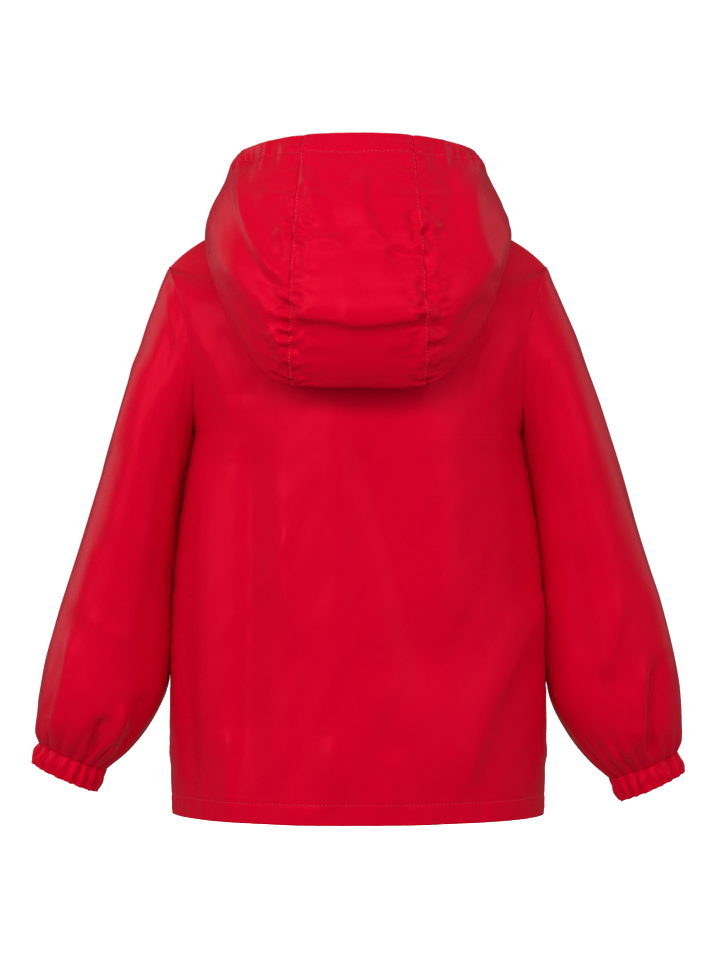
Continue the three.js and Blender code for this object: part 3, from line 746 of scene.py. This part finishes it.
SHELL = coated_cloth(
    "coated_cloth_red", (0.640, 0.0, 0.0200, 1), (0.700, 0.0004, 0.0250, 1), crinkle=0.00014, gloss=0.21
)
CUFF_CLOTH = coated_cloth(
    "cuff_cloth_red", (0.640, 0.0, 0.0190, 1), (0.700, 0.0004, 0.0240, 1), crinkle=0.00020, gloss=0.23
)
print("finishes:", SHELL.name, "and", CUFF_CLOTH.name)

# %% [markdown]
# ## The back and the fronts
#
# The back is one piece from hem to neck, and the fronts are two that end beside the zip. The hem is
# turned up and stitched, so the cloth is thicker there and a shallow groove runs along the
# stitches. Puckers stand along the side seams and the armholes. One function makes the relief of
# all three, from a table of folds and a seed for the random waves.

# %% Sizes of the cloth and the hem
SIDES = (("left", 1), ("right", -1))
CLOTH = 0.9  # one layer, thicker than the real cloth so that a wall's two faces stay apart
HEM_CLOTH = 2.0  # the turned hem and the hood's casing
HEM_DEPTH = 18
HEM_STITCH = 17  # height of the stitches above the hem
HALF_WIDTH = 205  # of the back, along the cloth
ROW_HEIGHTS = (0, 65, 140, 230, 322, 450, 505)  # distance above the hem of each row of the torso


def above_hem(row):
    """Distance of a torso row above the hem, in millimetres."""
    return np.interp(row, range(len(ROW_HEIGHTS)), ROW_HEIGHTS)


def hem_row(height):
    """The torso row at this height above the hem."""
    return np.interp(height, ROW_HEIGHTS, range(len(ROW_HEIGHTS)))


print("the back is", 2 * HALF_WIDTH, "mm wide and", ROW_HEIGHTS[-1], "mm long along the cloth")


# %% The relief of the back and the fronts
def body_relief(face, table, seed):
    """Folds, slow waves and seam puckers of the back or a front, all fading out at the edges."""

    def height(points, across, row):
        x, z = points[..., 0], points[..., 2]
        high = above_hem(row)
        from_side = (1 - np.abs(across)) * HALF_WIDTH
        inside = smooth(from_side / 26) * smooth((SHOULDER + 0.6 - row) / 0.8)
        folded = fold_height(table, x, z) * inside
        slow = 1.3 * waves(x / 38 + 40, z / 95 + 40, seed) * inside
        crisp = 0.45 * waves(x / 13 + z / 30 + 60, z / 34 + 40, seed + 3) * inside
        seam = puckers(high, from_side, spacing=13, reach=9, height=0.65, seed=seed + 7)
        seam += valley(from_side, depth=0.35, width=1.8)
        across_mm = across * HALF_WIDTH + 500
        from_hem = np.abs(high - HEM_DEPTH) + 2
        hem = puckers(across_mm, from_hem, spacing=11, reach=7, height=0.55, seed=seed + 9)
        stitched = valley(np.abs(high - HEM_STITCH), depth=0.4, width=1.1)
        ripple = 2.2 * waves(x / 46 + 40, 0 * z + 3.5, seed + 11) * np.exp(-high / 90) * inside
        return folded + slow + crisp + seam + hem + stitched + ripple

    return raised(lambda across, row: body_point(face, across, row), -face, height)


BODY_ROWS = np.concatenate([
    spread(0, hem_row(22), 16),
    spread(hem_row(22), UNDERARM, 120)[1:],
    spread(UNDERARM, SHOULDER, 52)[1:],
    spread(SHOULDER, NECK, 24)[1:],
])
back_surface = body_relief(1, BACK_FOLDS, 11)
front_surface = body_relief(-1, FRONT_FOLDS, 23)


def hem_thickness(row):
    """Three layers up to the top of the turned hem, then one."""
    return CLOTH + (HEM_CLOTH - CLOTH) * smooth((HEM_DEPTH + 1.5 - above_hem(row)) / 2)


# %% The back's wall
across_grid, row_grid = np.meshgrid(spread(-1, 1, 180, 0.3), BODY_ROWS)
back = cloth_wall("back_cloth", back_surface, across_grid, row_grid, -1, hem_thickness(row_grid))

# %% The two fronts' walls
OPENING_HALF = 5.5  # from the centre line to a front's edge
fronts = {}
for name, side in SIDES:
    share, row_grid = np.meshgrid(spread(0, 1, 78, 0.3), BODY_ROWS)
    edge = body_across(OPENING_HALF, row_grid)
    across_grid = side * (edge + (1 - edge) * share)
    fronts[name] = cloth_wall(
        f"front_{name}_cloth", front_surface, across_grid, row_grid, 1, hem_thickness(row_grid)
    )

# %% [markdown]
# ## Sleeves and cuffs
#
# Each sleeve is one piece rolled into a tube, widest above the wrist and then drawn into an
# elastic cuff. The cuff is a short band of the same cloth whose elastic gathers it into about
# eighteen rounded ridges, which run on into the sleeve and die away.


# %% The relief of a sleeve
SLEEVE_LEAN = 4.4  # how far the loose cloth of a sleeve leans in against the body
ROW_LENGTH, FIRST_ROW_LENGTH = 46, 42  # between a sleeve's rows, and beside the armhole
TURNING_IN = 9  # the row from which a sleeve narrows


def cuff_drop(side):
    """How much lower this side's cuff hangs."""
    return 0 if side > 0 else RIGHT_CUFF_DROP


def sleeve_surface(side):
    """The sleeve's rings, with folds seen from the back or the front, slow waves and puckers."""

    def plain(angle, row):
        drop = cuff_drop(side) * smooth((row - 1) / (SLEEVE_END - 1))
        swing = LEFT_SWING if side > 0 else RIGHT_SWING
        return ring_point(SLEEVE, angle, row, drop, swing) * np.array([side, 1, 1])

    def height(points, angle, row):
        x, y, z = np.moveaxis(points, -1, 0)
        high = np.minimum(row, TURNING_IN) * ROW_LENGTH
        away = row * FIRST_ROW_LENGTH
        ends = smooth(row / 0.9) * smooth((SLEEVE_END - row) / 1.5)
        seen = smooth(np.abs(y) / 16) * ends
        behind = fold_height(SLEEVE_BACK_FOLDS, x, z)
        folded = np.where(y > 0, behind, fold_height(SLEEVE_FRONT_FOLDS, x, z))
        round_mm = angle * 50 + 10
        round_x, round_y = 1.6 * np.cos(angle) + 20, 1.6 * np.sin(angle)
        slow = 1.5 * waves(round_x + 1.2 * round_y, high / 85 + 9 + round_y, 31 + side) * ends
        crisp = 0.5 * waves(2 * round_x + high / 60, high / 34 + 12 + 2 * round_y, 41 + side) * ends
        seam = puckers(round_mm, away, spacing=13, reach=8, height=0.8, seed=51 + side)
        seam += valley(away, depth=0.35, width=1.8)
        inner_side = np.exp(-(((angle - np.pi) / 0.5) ** 2))
        leaning = inner_side * smooth(row / 0.35) * smooth((TURNING_IN - row) / 2.5)
        return folded * seen + slow + crisp + seam + SLEEVE_LEAN * leaning

    return raised(plain, -side, height)


# %% The relief of a cuff
def cuff_surface(side):
    """The cuff's rings, with small uneven hollows between its ridges."""

    def plain(angle, row):
        return ring_point(CUFF, angle, row, cuff_drop(side)) * np.array([side, 1, 1])

    def height(points, angle, row):
        return 1.1 * waves(14 * np.cos(angle) + 20, row * 1.6 + 9 * np.sin(angle) + 12, 61 + side)

    return raised(plain, -side, height)


# %% The sleeves' and the cuffs' walls
SLEEVE_START = -0.05  # a sleeve begins just under the edge of its armhole
CUFF_THICKNESS = 1.6
SLEEVE_PLACES = np.concatenate([
    spread(SLEEVE_START, 0.2, 7),
    spread(0.2, 8, 96)[1:],
    spread(8, SLEEVE_END, 44)[1:],
])
SLEEVE_ANGLES, CUFF_ANGLES = (np.linspace(0, 2 * np.pi, cells + 1)[:-1] for cells in (160, 288))
sleeves, cuffs = {}, {}
for name, side in SIDES:
    angle_grid, row_grid = np.meshgrid(SLEEVE_ANGLES, SLEEVE_PLACES)
    sleeves[name] = cloth_wall(
        f"sleeve_{name}_cloth", sleeve_surface(side), angle_grid, row_grid, -side, CLOTH, around=True
    )
    angle_grid, row_grid = np.meshgrid(CUFF_ANGLES, spread(0, CUFF_END, 16))
    cuffs[name] = cloth_wall(
        f"cuff_{name}_cloth", cuff_surface(side), angle_grid, row_grid, -side, CUFF_THICKNESS, around=True
    )

# %% [markdown]
# ## The hood
#
# Three panels: a long centre panel and two sides. Empty, it hangs down the back as a pouch whose
# cloth folds under along a soft crease. The casing at its rim is turned in and slightly gathered.


# %% The relief of the hood
HOOD_CASING = 19
LAST_ROW_LENGTH = np.linalg.norm(hood_point(0.0, RIM) - hood_point(0.0, RIM - 1))
CASING_ROW = RIM - HOOD_CASING / LAST_ROW_LENGTH
OUTSIDE = 3.0  # the row from which the hood faces out
SEAM_RADIUS = 120  # of the hood's rows where the seams cross them
HOOD_ROW_LENGTH, RIM_ROW_LENGTH = 68, 90  # between the hood's rows, and between the last two


def hood_relief(points, angle, row):
    """Folds on the part that faces out, waves, the casing's gathers, and crumpled cloth beside
    both seams, where taking the absolute value of random hills makes crisp little ridges."""
    x, y, z = np.moveaxis(points, -1, 0)
    outside = smooth((row - OUTSIDE) / 0.7)
    below_rim = smooth((RIM - row) / 0.25)
    folded = fold_height(HOOD_FOLDS, x, z) * outside * below_rim * (y > 0)
    past_seam = (np.abs(angle) - HOOD_SEAM) * SEAM_RADIUS
    from_seam = np.abs(past_seam)
    high = row * HOOD_ROW_LENGTH
    slow = 1.4 * waves(angle * 3.1 + 20, high / 44 + 9, 71) * below_rim * smooth(row / 0.6)
    crisp = 0.6 * waves(angle * 8 + 20, high / 18 + 9, 73) * below_rim * smooth(row / 0.6)
    drawn = 0.45 + 1.4 * np.exp(-(((z + 14) / 16) ** 2)) + 1.1 * np.exp(-(((z + 84) / 30) ** 2))
    signed = past_seam + 300 + 60 * np.sign(angle)
    crumple = 0.5 - np.abs(waves(signed / 11, high / 7, 81)) + 0.4 * waves(signed / 6, high / 4, 82)
    crimps = 4.8 * drawn * crumple * np.exp(-((from_seam / 14) ** 2)) * below_rim
    seam = crimps + puckers(high, from_seam, spacing=15, reach=12, height=1.1, seed=85)
    seam += valley(from_seam, depth=0.4, width=1.3)
    line = np.abs(row - CASING_ROW) * RIM_ROW_LENGTH
    corner = 0.6 + 1.0 * smooth((np.abs(angle) - 0.55) / 0.4)
    wrinkled = wander(angle * 16 + 60, 83) + 0.5 * wander(angle * 35 + 80, 84)
    gathers = 1.9 * wrinkled * np.exp(-((line / 15) ** 2)) * corner
    casing = valley(line, depth=0.6, width=1.4) + gathers
    return folded + slow + crisp + seam + casing


hood_surface = raised(hood_point, -1, hood_relief)


def hood_thickness(row):
    """The casing is three layers."""
    return CLOTH + (HEM_CLOTH - CLOTH) * smooth((row - CASING_ROW + 0.01) / 0.03)


# %% The hood's three walls
HOOD_PLACES = np.concatenate([
    spread(0, OUTSIDE, 56),
    spread(OUTSIDE, CASING_ROW - 0.05, 128)[1:],
    spread(CASING_ROW - 0.05, RIM, 18)[1:],
])
hoods = {}
angle_grid, row_grid = np.meshgrid(spread(-HOOD_SEAM, HOOD_SEAM, 64, 0.5), HOOD_PLACES)
hoods["centre"] = cloth_wall(
    "hood_centre_cloth", hood_surface, angle_grid, row_grid, -1, hood_thickness(row_grid)
)
for name, side in SIDES:
    share, row_grid = np.meshgrid(spread(0, 1, 110, 0.25), HOOD_PLACES)
    edge = hood_front(OPENING_HALF, row_grid)
    angle_grid = side * (HOOD_SEAM + (edge - HOOD_SEAM) * share)
    hoods[name] = cloth_wall(
        f"hood_side_{name}_cloth", hood_surface, angle_grid, row_grid, -1, hood_thickness(row_grid)
    )

# %% [markdown]
# ## The zip
#
# A moulded zip is two woven tapes with a row of plastic teeth along each. Tooth by tooth the two
# rows mesh below the slider and part above it. Each tooth is the same small block, so it could be
# an array modifier, but the chain has to follow the front's own curve. So the block is repeated
# as whole arrays, in the frame of the tape at each tooth's place.


# %% The line of the chain
TAPE_HALF = 12.5  # from the centre line to a tape's outer edge
TAPE_INNER = 0.6  # and to its inner edge
TAPE_SUNK = 1.6  # how far behind the cloth's face the tape lies
TOOTH_PITCH = 2.6
PARTING = 1.7  # how far each half stands from the centre line above the slider
SLIDER_ROW = 4.1  # the hood's row at the slider
SLIDER_LENGTH = 13
TAPE_TOP = 5.6  # the hood's row where the tapes end
NEAR_CENTRE = 0.01


def zip_plain(side):
    """The face of the front's edge by distance from the centre line and by place, which runs
    through the body's rows and then the hood's."""

    def plain(x, place):
        body_row, hood_row = np.minimum(place, NECK), np.clip(place - NECK, 0, RIM)
        on_body = body_point(-1, side * body_across(x, body_row), body_row)
        on_hood = hood_point(side * hood_front(x, hood_row), hood_row)
        return np.where((place > NECK)[..., None], on_hood, on_body)

    return plain


chain_places = np.concatenate([
    np.linspace(hem_row(6), NECK, 400),
    np.linspace(NECK, NECK + TAPE_TOP, 80)[1:],
])
chain_line = zip_plain(1)(np.full(len(chain_places), NEAR_CENTRE), chain_places)
chain_length = measure(chain_line, 0)
slider_at = np.interp(NECK + SLIDER_ROW, chain_places, chain_length)
print("the chain is", round(chain_length[-1]), "mm long")


def parting(place):
    """How far each half stands from the centre line: a smooth step along the slider."""
    along = np.interp(place, chain_places, chain_length) - slider_at
    return PARTING * smooth(along / SLIDER_LENGTH + 0.5)


# %% The two tapes
def zip_tape(name, side):
    """A strip from the chain to the tape's outer edge, a little behind the cloth."""

    def parted(x, place):
        return zip_plain(side)(x + parting(place) * (TAPE_HALF - x) / TAPE_HALF, place)

    sunk = raised(parted, side, lambda points, x, place: -TAPE_SUNK + 0 * x)
    x_grid, place_grid = np.meshgrid(np.linspace(TAPE_INNER, TAPE_HALF, 10), chain_places[::2])
    return cloth_wall(f"zip_tape_{name}_woven", sunk, x_grid, place_grid, side, 0.9)


tapes = {name: zip_tape(name, side) for name, side in SIDES}

# %% The teeth
TOOTH_OUTLINE = ((2.9, -0.5), (0.5, -0.5), (-0.7, -0.3), (-0.7, 0.3), (0.5, 0.5), (2.9, 0.5))
TOOTH_MIDDLE = (1.1, 0)
TOOTH_LAYERS = ((1.0, -0.5), (1.0, 0.9), (0.72, 1.35))  # how wide the outline is at each height


def zip_teeth(name, side):
    """Every tooth as one block: a bullet-shaped outline, narrower on top, whose head crosses the
    centre line. The two sides are half a pitch apart."""
    count = int(chain_length[-1] / TOOTH_PITCH) - 1
    lengths = (np.arange(count) + (0.75 if side > 0 else 0.25)) * TOOTH_PITCH
    places = np.interp(lengths, chain_length, chain_places)
    plain = zip_plain(side)
    x = parting(places) + 0.02
    feet = plain(x, places)
    out = out_of(plain, x, places, side)
    up = plain(x, places + PROBE) - feet
    up /= np.linalg.norm(up, axis=-1, keepdims=True)
    across = np.cross(up, out) * side
    middle = np.array(TOOTH_MIDDLE)
    from_middle = np.array(TOOTH_OUTLINE) - middle
    block = np.concatenate([
        np.column_stack([middle + from_middle * scale, np.full(6, height)])
        for scale, height in TOOTH_LAYERS
    ])
    axes = np.stack([across, up, out], 1)
    vertices = feet[:, None] - out[:, None] * TAPE_SUNK * 0.8 + np.einsum("vk,tkc->tvc", block, axes)
    ring = np.arange(6)
    lower = quads(ring, (ring + 1) % 6, (ring + 1) % 6 + 6, ring + 6)
    caps = np.array([(12, 13, 16, 17), (13, 14, 15, 16), (5, 4, 1, 0), (4, 3, 2, 1)])
    faces = np.concatenate([lower, lower + 6, caps])[:, ::-side]
    number = np.arange(count)[:, None, None] * len(block)
    every = (faces + number).reshape(-1, 4)
    piece = new_object(name, vertices.reshape(-1, 3), every, flat_faces=range(len(every)))
    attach(piece, GARMENT)
    print(name, count, "teeth")
    return piece


teeth = {name: zip_teeth(f"zip_teeth_{name}", side) for name, side in SIDES}

# %% [markdown]
# ## Sewing
#
# A row of stitches is a thread that dips into the cloth every three millimetres. At this distance
# each stitch reads as a small raised bead, so each is a short spindle laid along the seam.


# %% Rows of stitches
STITCH_PITCH = 3.3
STITCH_LENGTH = 2.4
THREAD = 0.22  # half the thread's thickness
STITCH_RISE, STITCH_DIP = 0.09, 0.28  # how high its middle stands, and how far its ends sink from there


def stitch_rows(name, lines):
    """Spindles laid end to end along lines, each given as points and their outward directions.
    A spindle's rings sit along the line between its ends, and its middle stands highest."""
    rings = np.array([-1, -0.7, 0, 0.7, 1])
    girth = np.sqrt(np.maximum(1 - rings**2, 0.02)) * THREAD
    turns = np.arange(6) * np.pi / 3
    cosines, sines = np.cos(turns)[:, None], np.sin(turns)[:, None]
    halves = ((0, 1, 2, 3), (0, 3, 4, 5))
    all_vertices, all_faces, total = [], [], 0
    for points, out in lines:
        length = measure(points, 0)
        centres = np.arange(STITCH_PITCH, length[-1] - STITCH_PITCH / 2, STITCH_PITCH)
        at = centres[:, None] + rings * STITCH_LENGTH / 2

        def along(values):
            return np.stack([np.interp(at, length, values[:, i]) for i in range(3)], -1)

        middle, normal = along(points), along(out)
        middle = middle + normal * (STITCH_RISE - STITCH_DIP * rings[:, None] ** 2)
        forward = np.gradient(middle, axis=1)
        forward /= np.linalg.norm(forward, axis=-1, keepdims=True)
        aside = np.cross(forward, normal)
        upward = np.cross(aside, forward)
        ring = aside[:, :, None] * cosines + upward[:, :, None] * sines
        vertices = middle[:, :, None] + ring * girth[:, None, None]
        number = np.arange(vertices[..., 0].size).reshape(vertices.shape[:3]) + total
        turned = np.roll(number, -1, 2)
        all_faces.append(quads(number[:, :-1], number[:, 1:], turned[:, 1:], turned[:, :-1]))
        all_faces += [number[:, 0, half] for half in halves]
        all_faces += [number[:, -1, half[::-1]] for half in halves]
        all_vertices.append(vertices.reshape(-1, 3))
        total += vertices[..., 0].size
    piece = new_object(name, np.concatenate(all_vertices), np.concatenate(all_faces))
    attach(piece, GARMENT)
    print(name, total // (len(rings) * len(turns)), "stitches")
    return piece


def sewn(surface, facing, a, b):
    """A line on a finished surface, with its outward directions."""
    a, b = np.broadcast_arrays(np.asarray(a, float), np.asarray(b, float))
    return surface(a, b), out_of(surface, a, b, facing)


# %% Stitches along the hem, the casing, the hood's seams and the front edges
EDGE_STITCH = 6  # from the front edge to its row of stitches
EDGE_START = 1.5  # from the front edge to the start of the hem's and the casing's rows
SIDE_END = 0.985  # how far across the body the hem's rows run
BESIDE_SEAM = 0.016  # from a hood seam to its stitches, as an angle
across = np.linspace(-SIDE_END, SIDE_END, 900)
share = np.linspace(0, 1, 500)
hem_lines = [sewn(back_surface, -1, across, hem_row(HEM_STITCH))]
casing_lines, edge_lines, seam_lines = [], [], []
for side in (1, -1):
    first = body_across(OPENING_HALF + EDGE_START, np.array(hem_row(HEM_STITCH)))
    across = side * (first + (SIDE_END - first) * share)
    hem_lines.append(sewn(front_surface, 1, across, hem_row(HEM_STITCH)))
    rows = np.linspace(hem_row(1.5), NECK, 1200)
    across = side * body_across(OPENING_HALF + EDGE_STITCH, rows)
    edge_lines.append(sewn(front_surface, 1, across, rows))
    rows = np.linspace(0.05, RIM - 0.05, 400)
    angles = side * hood_front(OPENING_HALF + EDGE_STITCH, rows)
    edge_lines.append(sewn(hood_surface, -1, angles, rows))
    front_angle = hood_front(OPENING_HALF + EDGE_START, np.array(CASING_ROW))
    angles = np.linspace(HOOD_SEAM + 0.01, front_angle, 700)
    casing_lines.append(sewn(hood_surface, -1, side * angles, CASING_ROW))
    rows = np.linspace(0.05, CASING_ROW, 900)
    seam_lines.append(sewn(hood_surface, -1, side * (HOOD_SEAM - BESIDE_SEAM), rows))
angles = np.linspace(-HOOD_SEAM + 0.01, HOOD_SEAM - 0.01, 400)
casing_lines.append(sewn(hood_surface, -1, angles, CASING_ROW))
stitches = {
    "hem": stitch_rows("stitches_hem", hem_lines),
    "casing": stitch_rows("stitches_casing", casing_lines),
    "front_edges": stitch_rows("stitches_front_edges", edge_lines),
    "hood_seams": stitch_rows("stitches_hood_seams", seam_lines),
}

# %% [markdown]
# ## Thread, tape, plastic and metal
#
# Thread is a slightly paler, duller red with a twist. The tape is a darker, ribbed weave, the
# teeth are glossy plastic, and the slider and the pull are plated metal with faint scratches and a
# duller patina in clouds.


# %% The thread's and the tape's finish
def thread_finish():
    """Bands run aslant round the thread, as its twist does."""
    shader = Shader("sewing_thread")
    x, y, z = shader.parts(shader.place("Object"))
    twist = wave(x + y + z, 0.0009) * 0.5 + 0.5
    return shader.surface({
        "Base Color": shader.mix(twist, (0.58, 0.008, 0.04, 1), (0.78, 0.035, 0.10, 1)),
        "Roughness": twist * 0.2 + 0.5,
        "Normal": shader.bump(twist * 0.00004),
        "Sheen Weight": 0.2,
    })


def tape_finish():
    """A herringbone: ribs along the tape, shifted by a zigzag across it."""
    shader = Shader("zip_tape_red")
    u, v, _ = shader.parts(shader.place("UV"))
    ribs = wave(v + wave(u, 0.004) * 0.0006, 0.0011) * 0.5 + 0.5
    clouds = shader.noise(shader.place("Object"), 60.0)
    tone = ribs * 0.6 + clouds * 0.4
    return shader.surface({
        "Base Color": shader.mix(tone, (0.34, 0.0, 0.010, 1), (0.50, 0.001, 0.018, 1)),
        "Roughness": clouds * 0.15 + 0.62,
        "Normal": shader.bump(ribs * 0.00012),
        "Sheen Weight": 0.15,
    })


# %% The teeth's and the slider's finish
def plastic_finish():
    """Moulded plastic, with a little flow and rub in its gloss."""
    shader = Shader("zip_plastic_red")
    clouds = shader.noise(shader.place("Object"), 320.0)
    return shader.surface({
        "Base Color": shader.mix(clouds, (0.42, 0.0, 0.012, 1), (0.52, 0.002, 0.020, 1)),
        "Roughness": clouds * 0.2 + 0.24,
        "Normal": shader.bump(clouds * 0.00002),
    })


def metal_finish():
    """Plated metal: fine scratches from stretched noise, and a duller patina in clouds."""
    shader = Shader("zip_metal_plated")
    where = shader.place("Object")
    stretched = shader.node("ShaderNodeMapping", None, {"Vector": where, "Scale": (1.0, 1.0, 0.06)})
    scratches = shader.noise(stretched, 2600.0)
    clouds = shader.noise(where, 260.0, 3.0)
    return shader.surface({
        "Base Color": shader.mix(clouds, (0.60, 0.60, 0.62, 1), (0.80, 0.80, 0.82, 1)),
        "Metallic": 1.0,
        "Roughness": clouds * 0.18 + scratches * 0.12 + 0.16,
        "Normal": shader.bump(scratches * 0.000012),
    })


THREAD_FINISH, TAPE_FINISH = thread_finish(), tape_finish()
PLASTIC, METAL = plastic_finish(), metal_finish()
for name in ("zip_slider", "zip_pull"):
    for material_slot in frame["nodes"][name].material_slots:
        material_slot.material = METAL
for finish in (THREAD_FINISH, TAPE_FINISH, PLASTIC, METAL):
    print("finish:", finish.name)

# %% Each piece's finish, and the nodes that it replaces
for name in ("left", "right"):
    tapes[name].data.materials.append(TAPE_FINISH)
    teeth[name].data.materials.append(PLASTIC)
    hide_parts(f"zip_tape_{name}")
for piece in stitches.values():
    piece.data.materials.append(THREAD_FINISH)
for name in ("left", "right"):
    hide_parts(f"front_{name}")
    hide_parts(f"sleeve_upper_{name}", f"sleeve_lower_{name}")
    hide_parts(f"cuff_{name}")
    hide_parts(f"hood_side_{name}")
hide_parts("back")
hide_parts("hood_centre")
for piece in [back, *fronts.values(), *sleeves.values(), *hoods.values()]:
    piece.data.materials.append(SHELL)
for piece in cuffs.values():
    piece.data.materials.append(CUFF_CLOTH)
print("replaced: every cloth piece and the tapes; kept: the slider and the pull tab")

# %% [markdown]
# ## The flat cut
#
# Every piece was cut from flat cloth before it was sewn, and each wall's UV map keeps the cloth's own
# measure along and across it, in metres. The elastic draws a cuff's 250 mm in to 180 mm.

# %% [markdown]
# ## Studio
#
# The jacket hangs free against white, with a floor well below it. Two large soft lights stand
# behind the back, the stronger one on the wearer's left, and a long strip above them is what the
# hood's upper folds reflect. Two weak ones graze the sleeves' outer sides, and one lights the front.

# %% The camera
CAMERA_PLACE = (-0.0017, 2.6, -0.2168)
LENS, SENSOR = 114.7, 36  # in millimetres
camera = bpy.data.objects.new("camera", bpy.data.cameras.new("camera"))
camera.data.lens = LENS
camera.data.sensor_width = SENSOR
camera.location = CAMERA_PLACE
camera.rotation_euler = (np.pi / 2, 0, np.pi)
bpy.context.scene.collection.objects.link(camera)
bpy.context.scene.camera = camera
bpy.context.scene.view_settings.view_transform = "Standard"
print("the camera is", CAMERA_PLACE[1], "m behind the neck")


# %% The lights
def soft_light(name, place, aim, width, height, power):
    """A rectangular area light at a place, turned towards what it lights."""
    light = bpy.data.objects.new(name, bpy.data.lights.new(name, "AREA"))
    light.data.shape = "RECTANGLE"
    light.data.size = width
    light.data.size_y = height
    light.data.energy = power
    light.location = place
    way = np.array(aim) - np.array(place)
    turn = np.arctan2(-way[0], way[1])
    light.rotation_euler = (np.arctan2(np.hypot(way[0], way[1]), -way[2]), 0, turn)
    light.visible_camera = False
    bpy.context.scene.collection.objects.link(light)


MIDDLE = (0, 0, -0.22)
soft_light("key_light", (1.75, 2.1, 0.75), MIDDLE, 1.7, 1.7, 31)
soft_light("second_key_light", (-1.7, 2.1, 0.5), MIDDLE, 1.7, 1.7, 17)
soft_light("strip_light", (0.1, 2.2, 1.15), MIDDLE, 2.8, 0.7, 22)
soft_light("left_rim_light", (2.3, -1.2, 0.7), MIDDLE, 1.8, 1.8, 5.5)
soft_light("right_rim_light", (-2.3, -1.3, 0.7), MIDDLE, 1.8, 1.8, 3)
soft_light("front_light", (0, -2.3, -0.3), MIDDLE, 0.6, 0.6, 10)

# %% The white room
SKY_LIGHT, SKY_GLOSS, SKY_SEEN = 0.36, 0.07, 1.1  # how bright it is as light, in gloss and to the eye
world = bpy.data.worlds.new("studio")
bpy.context.scene.world = world
world.use_nodes = True
sky = world.node_tree.nodes["Background"]
rays = world.node_tree.nodes.new("ShaderNodeLightPath")
in_gloss, in_view = (world.node_tree.nodes.new("ShaderNodeMix") for _ in range(2))
links = world.node_tree.links
links.new(rays.outputs["Is Glossy Ray"], in_gloss.inputs[0])
in_gloss.inputs[2].default_value = SKY_LIGHT
in_gloss.inputs[3].default_value = SKY_GLOSS
links.new(rays.outputs["Is Camera Ray"], in_view.inputs[0])
links.new(in_gloss.outputs[0], in_view.inputs[2])
in_view.inputs[3].default_value = SKY_SEEN
links.new(in_view.outputs[0], sky.inputs["Strength"])
sky.inputs["Color"].default_value = (1, 1, 1, 1)

# %% The floor
FLOOR = -720
FLOOR_REACH = 9000
floor_corners = [(x, y, FLOOR) for x, y in ((-1, -1), (1, -1), (1, 1), (-1, 1))]
floor = new_object("floor", np.array(floor_corners) * (FLOOR_REACH, FLOOR_REACH, 1), [(0, 1, 2, 3)])
pale = Shader("floor_white")
tone = pale.noise(pale.place("Object"), 1.5)
floor.data.materials.append(pale.surface({
    "Base Color": pale.mix(tone, (0.86, 0.86, 0.86, 1), (0.9, 0.9, 0.9, 1)),
    "Roughness": 0.9,
    "Emission Color": (1, 1, 1, 1),
    "Emission Strength": 1.0,
}))
floor.visible_diffuse = False
floor.visible_glossy = False
print("the floor is at", FLOOR, "mm")
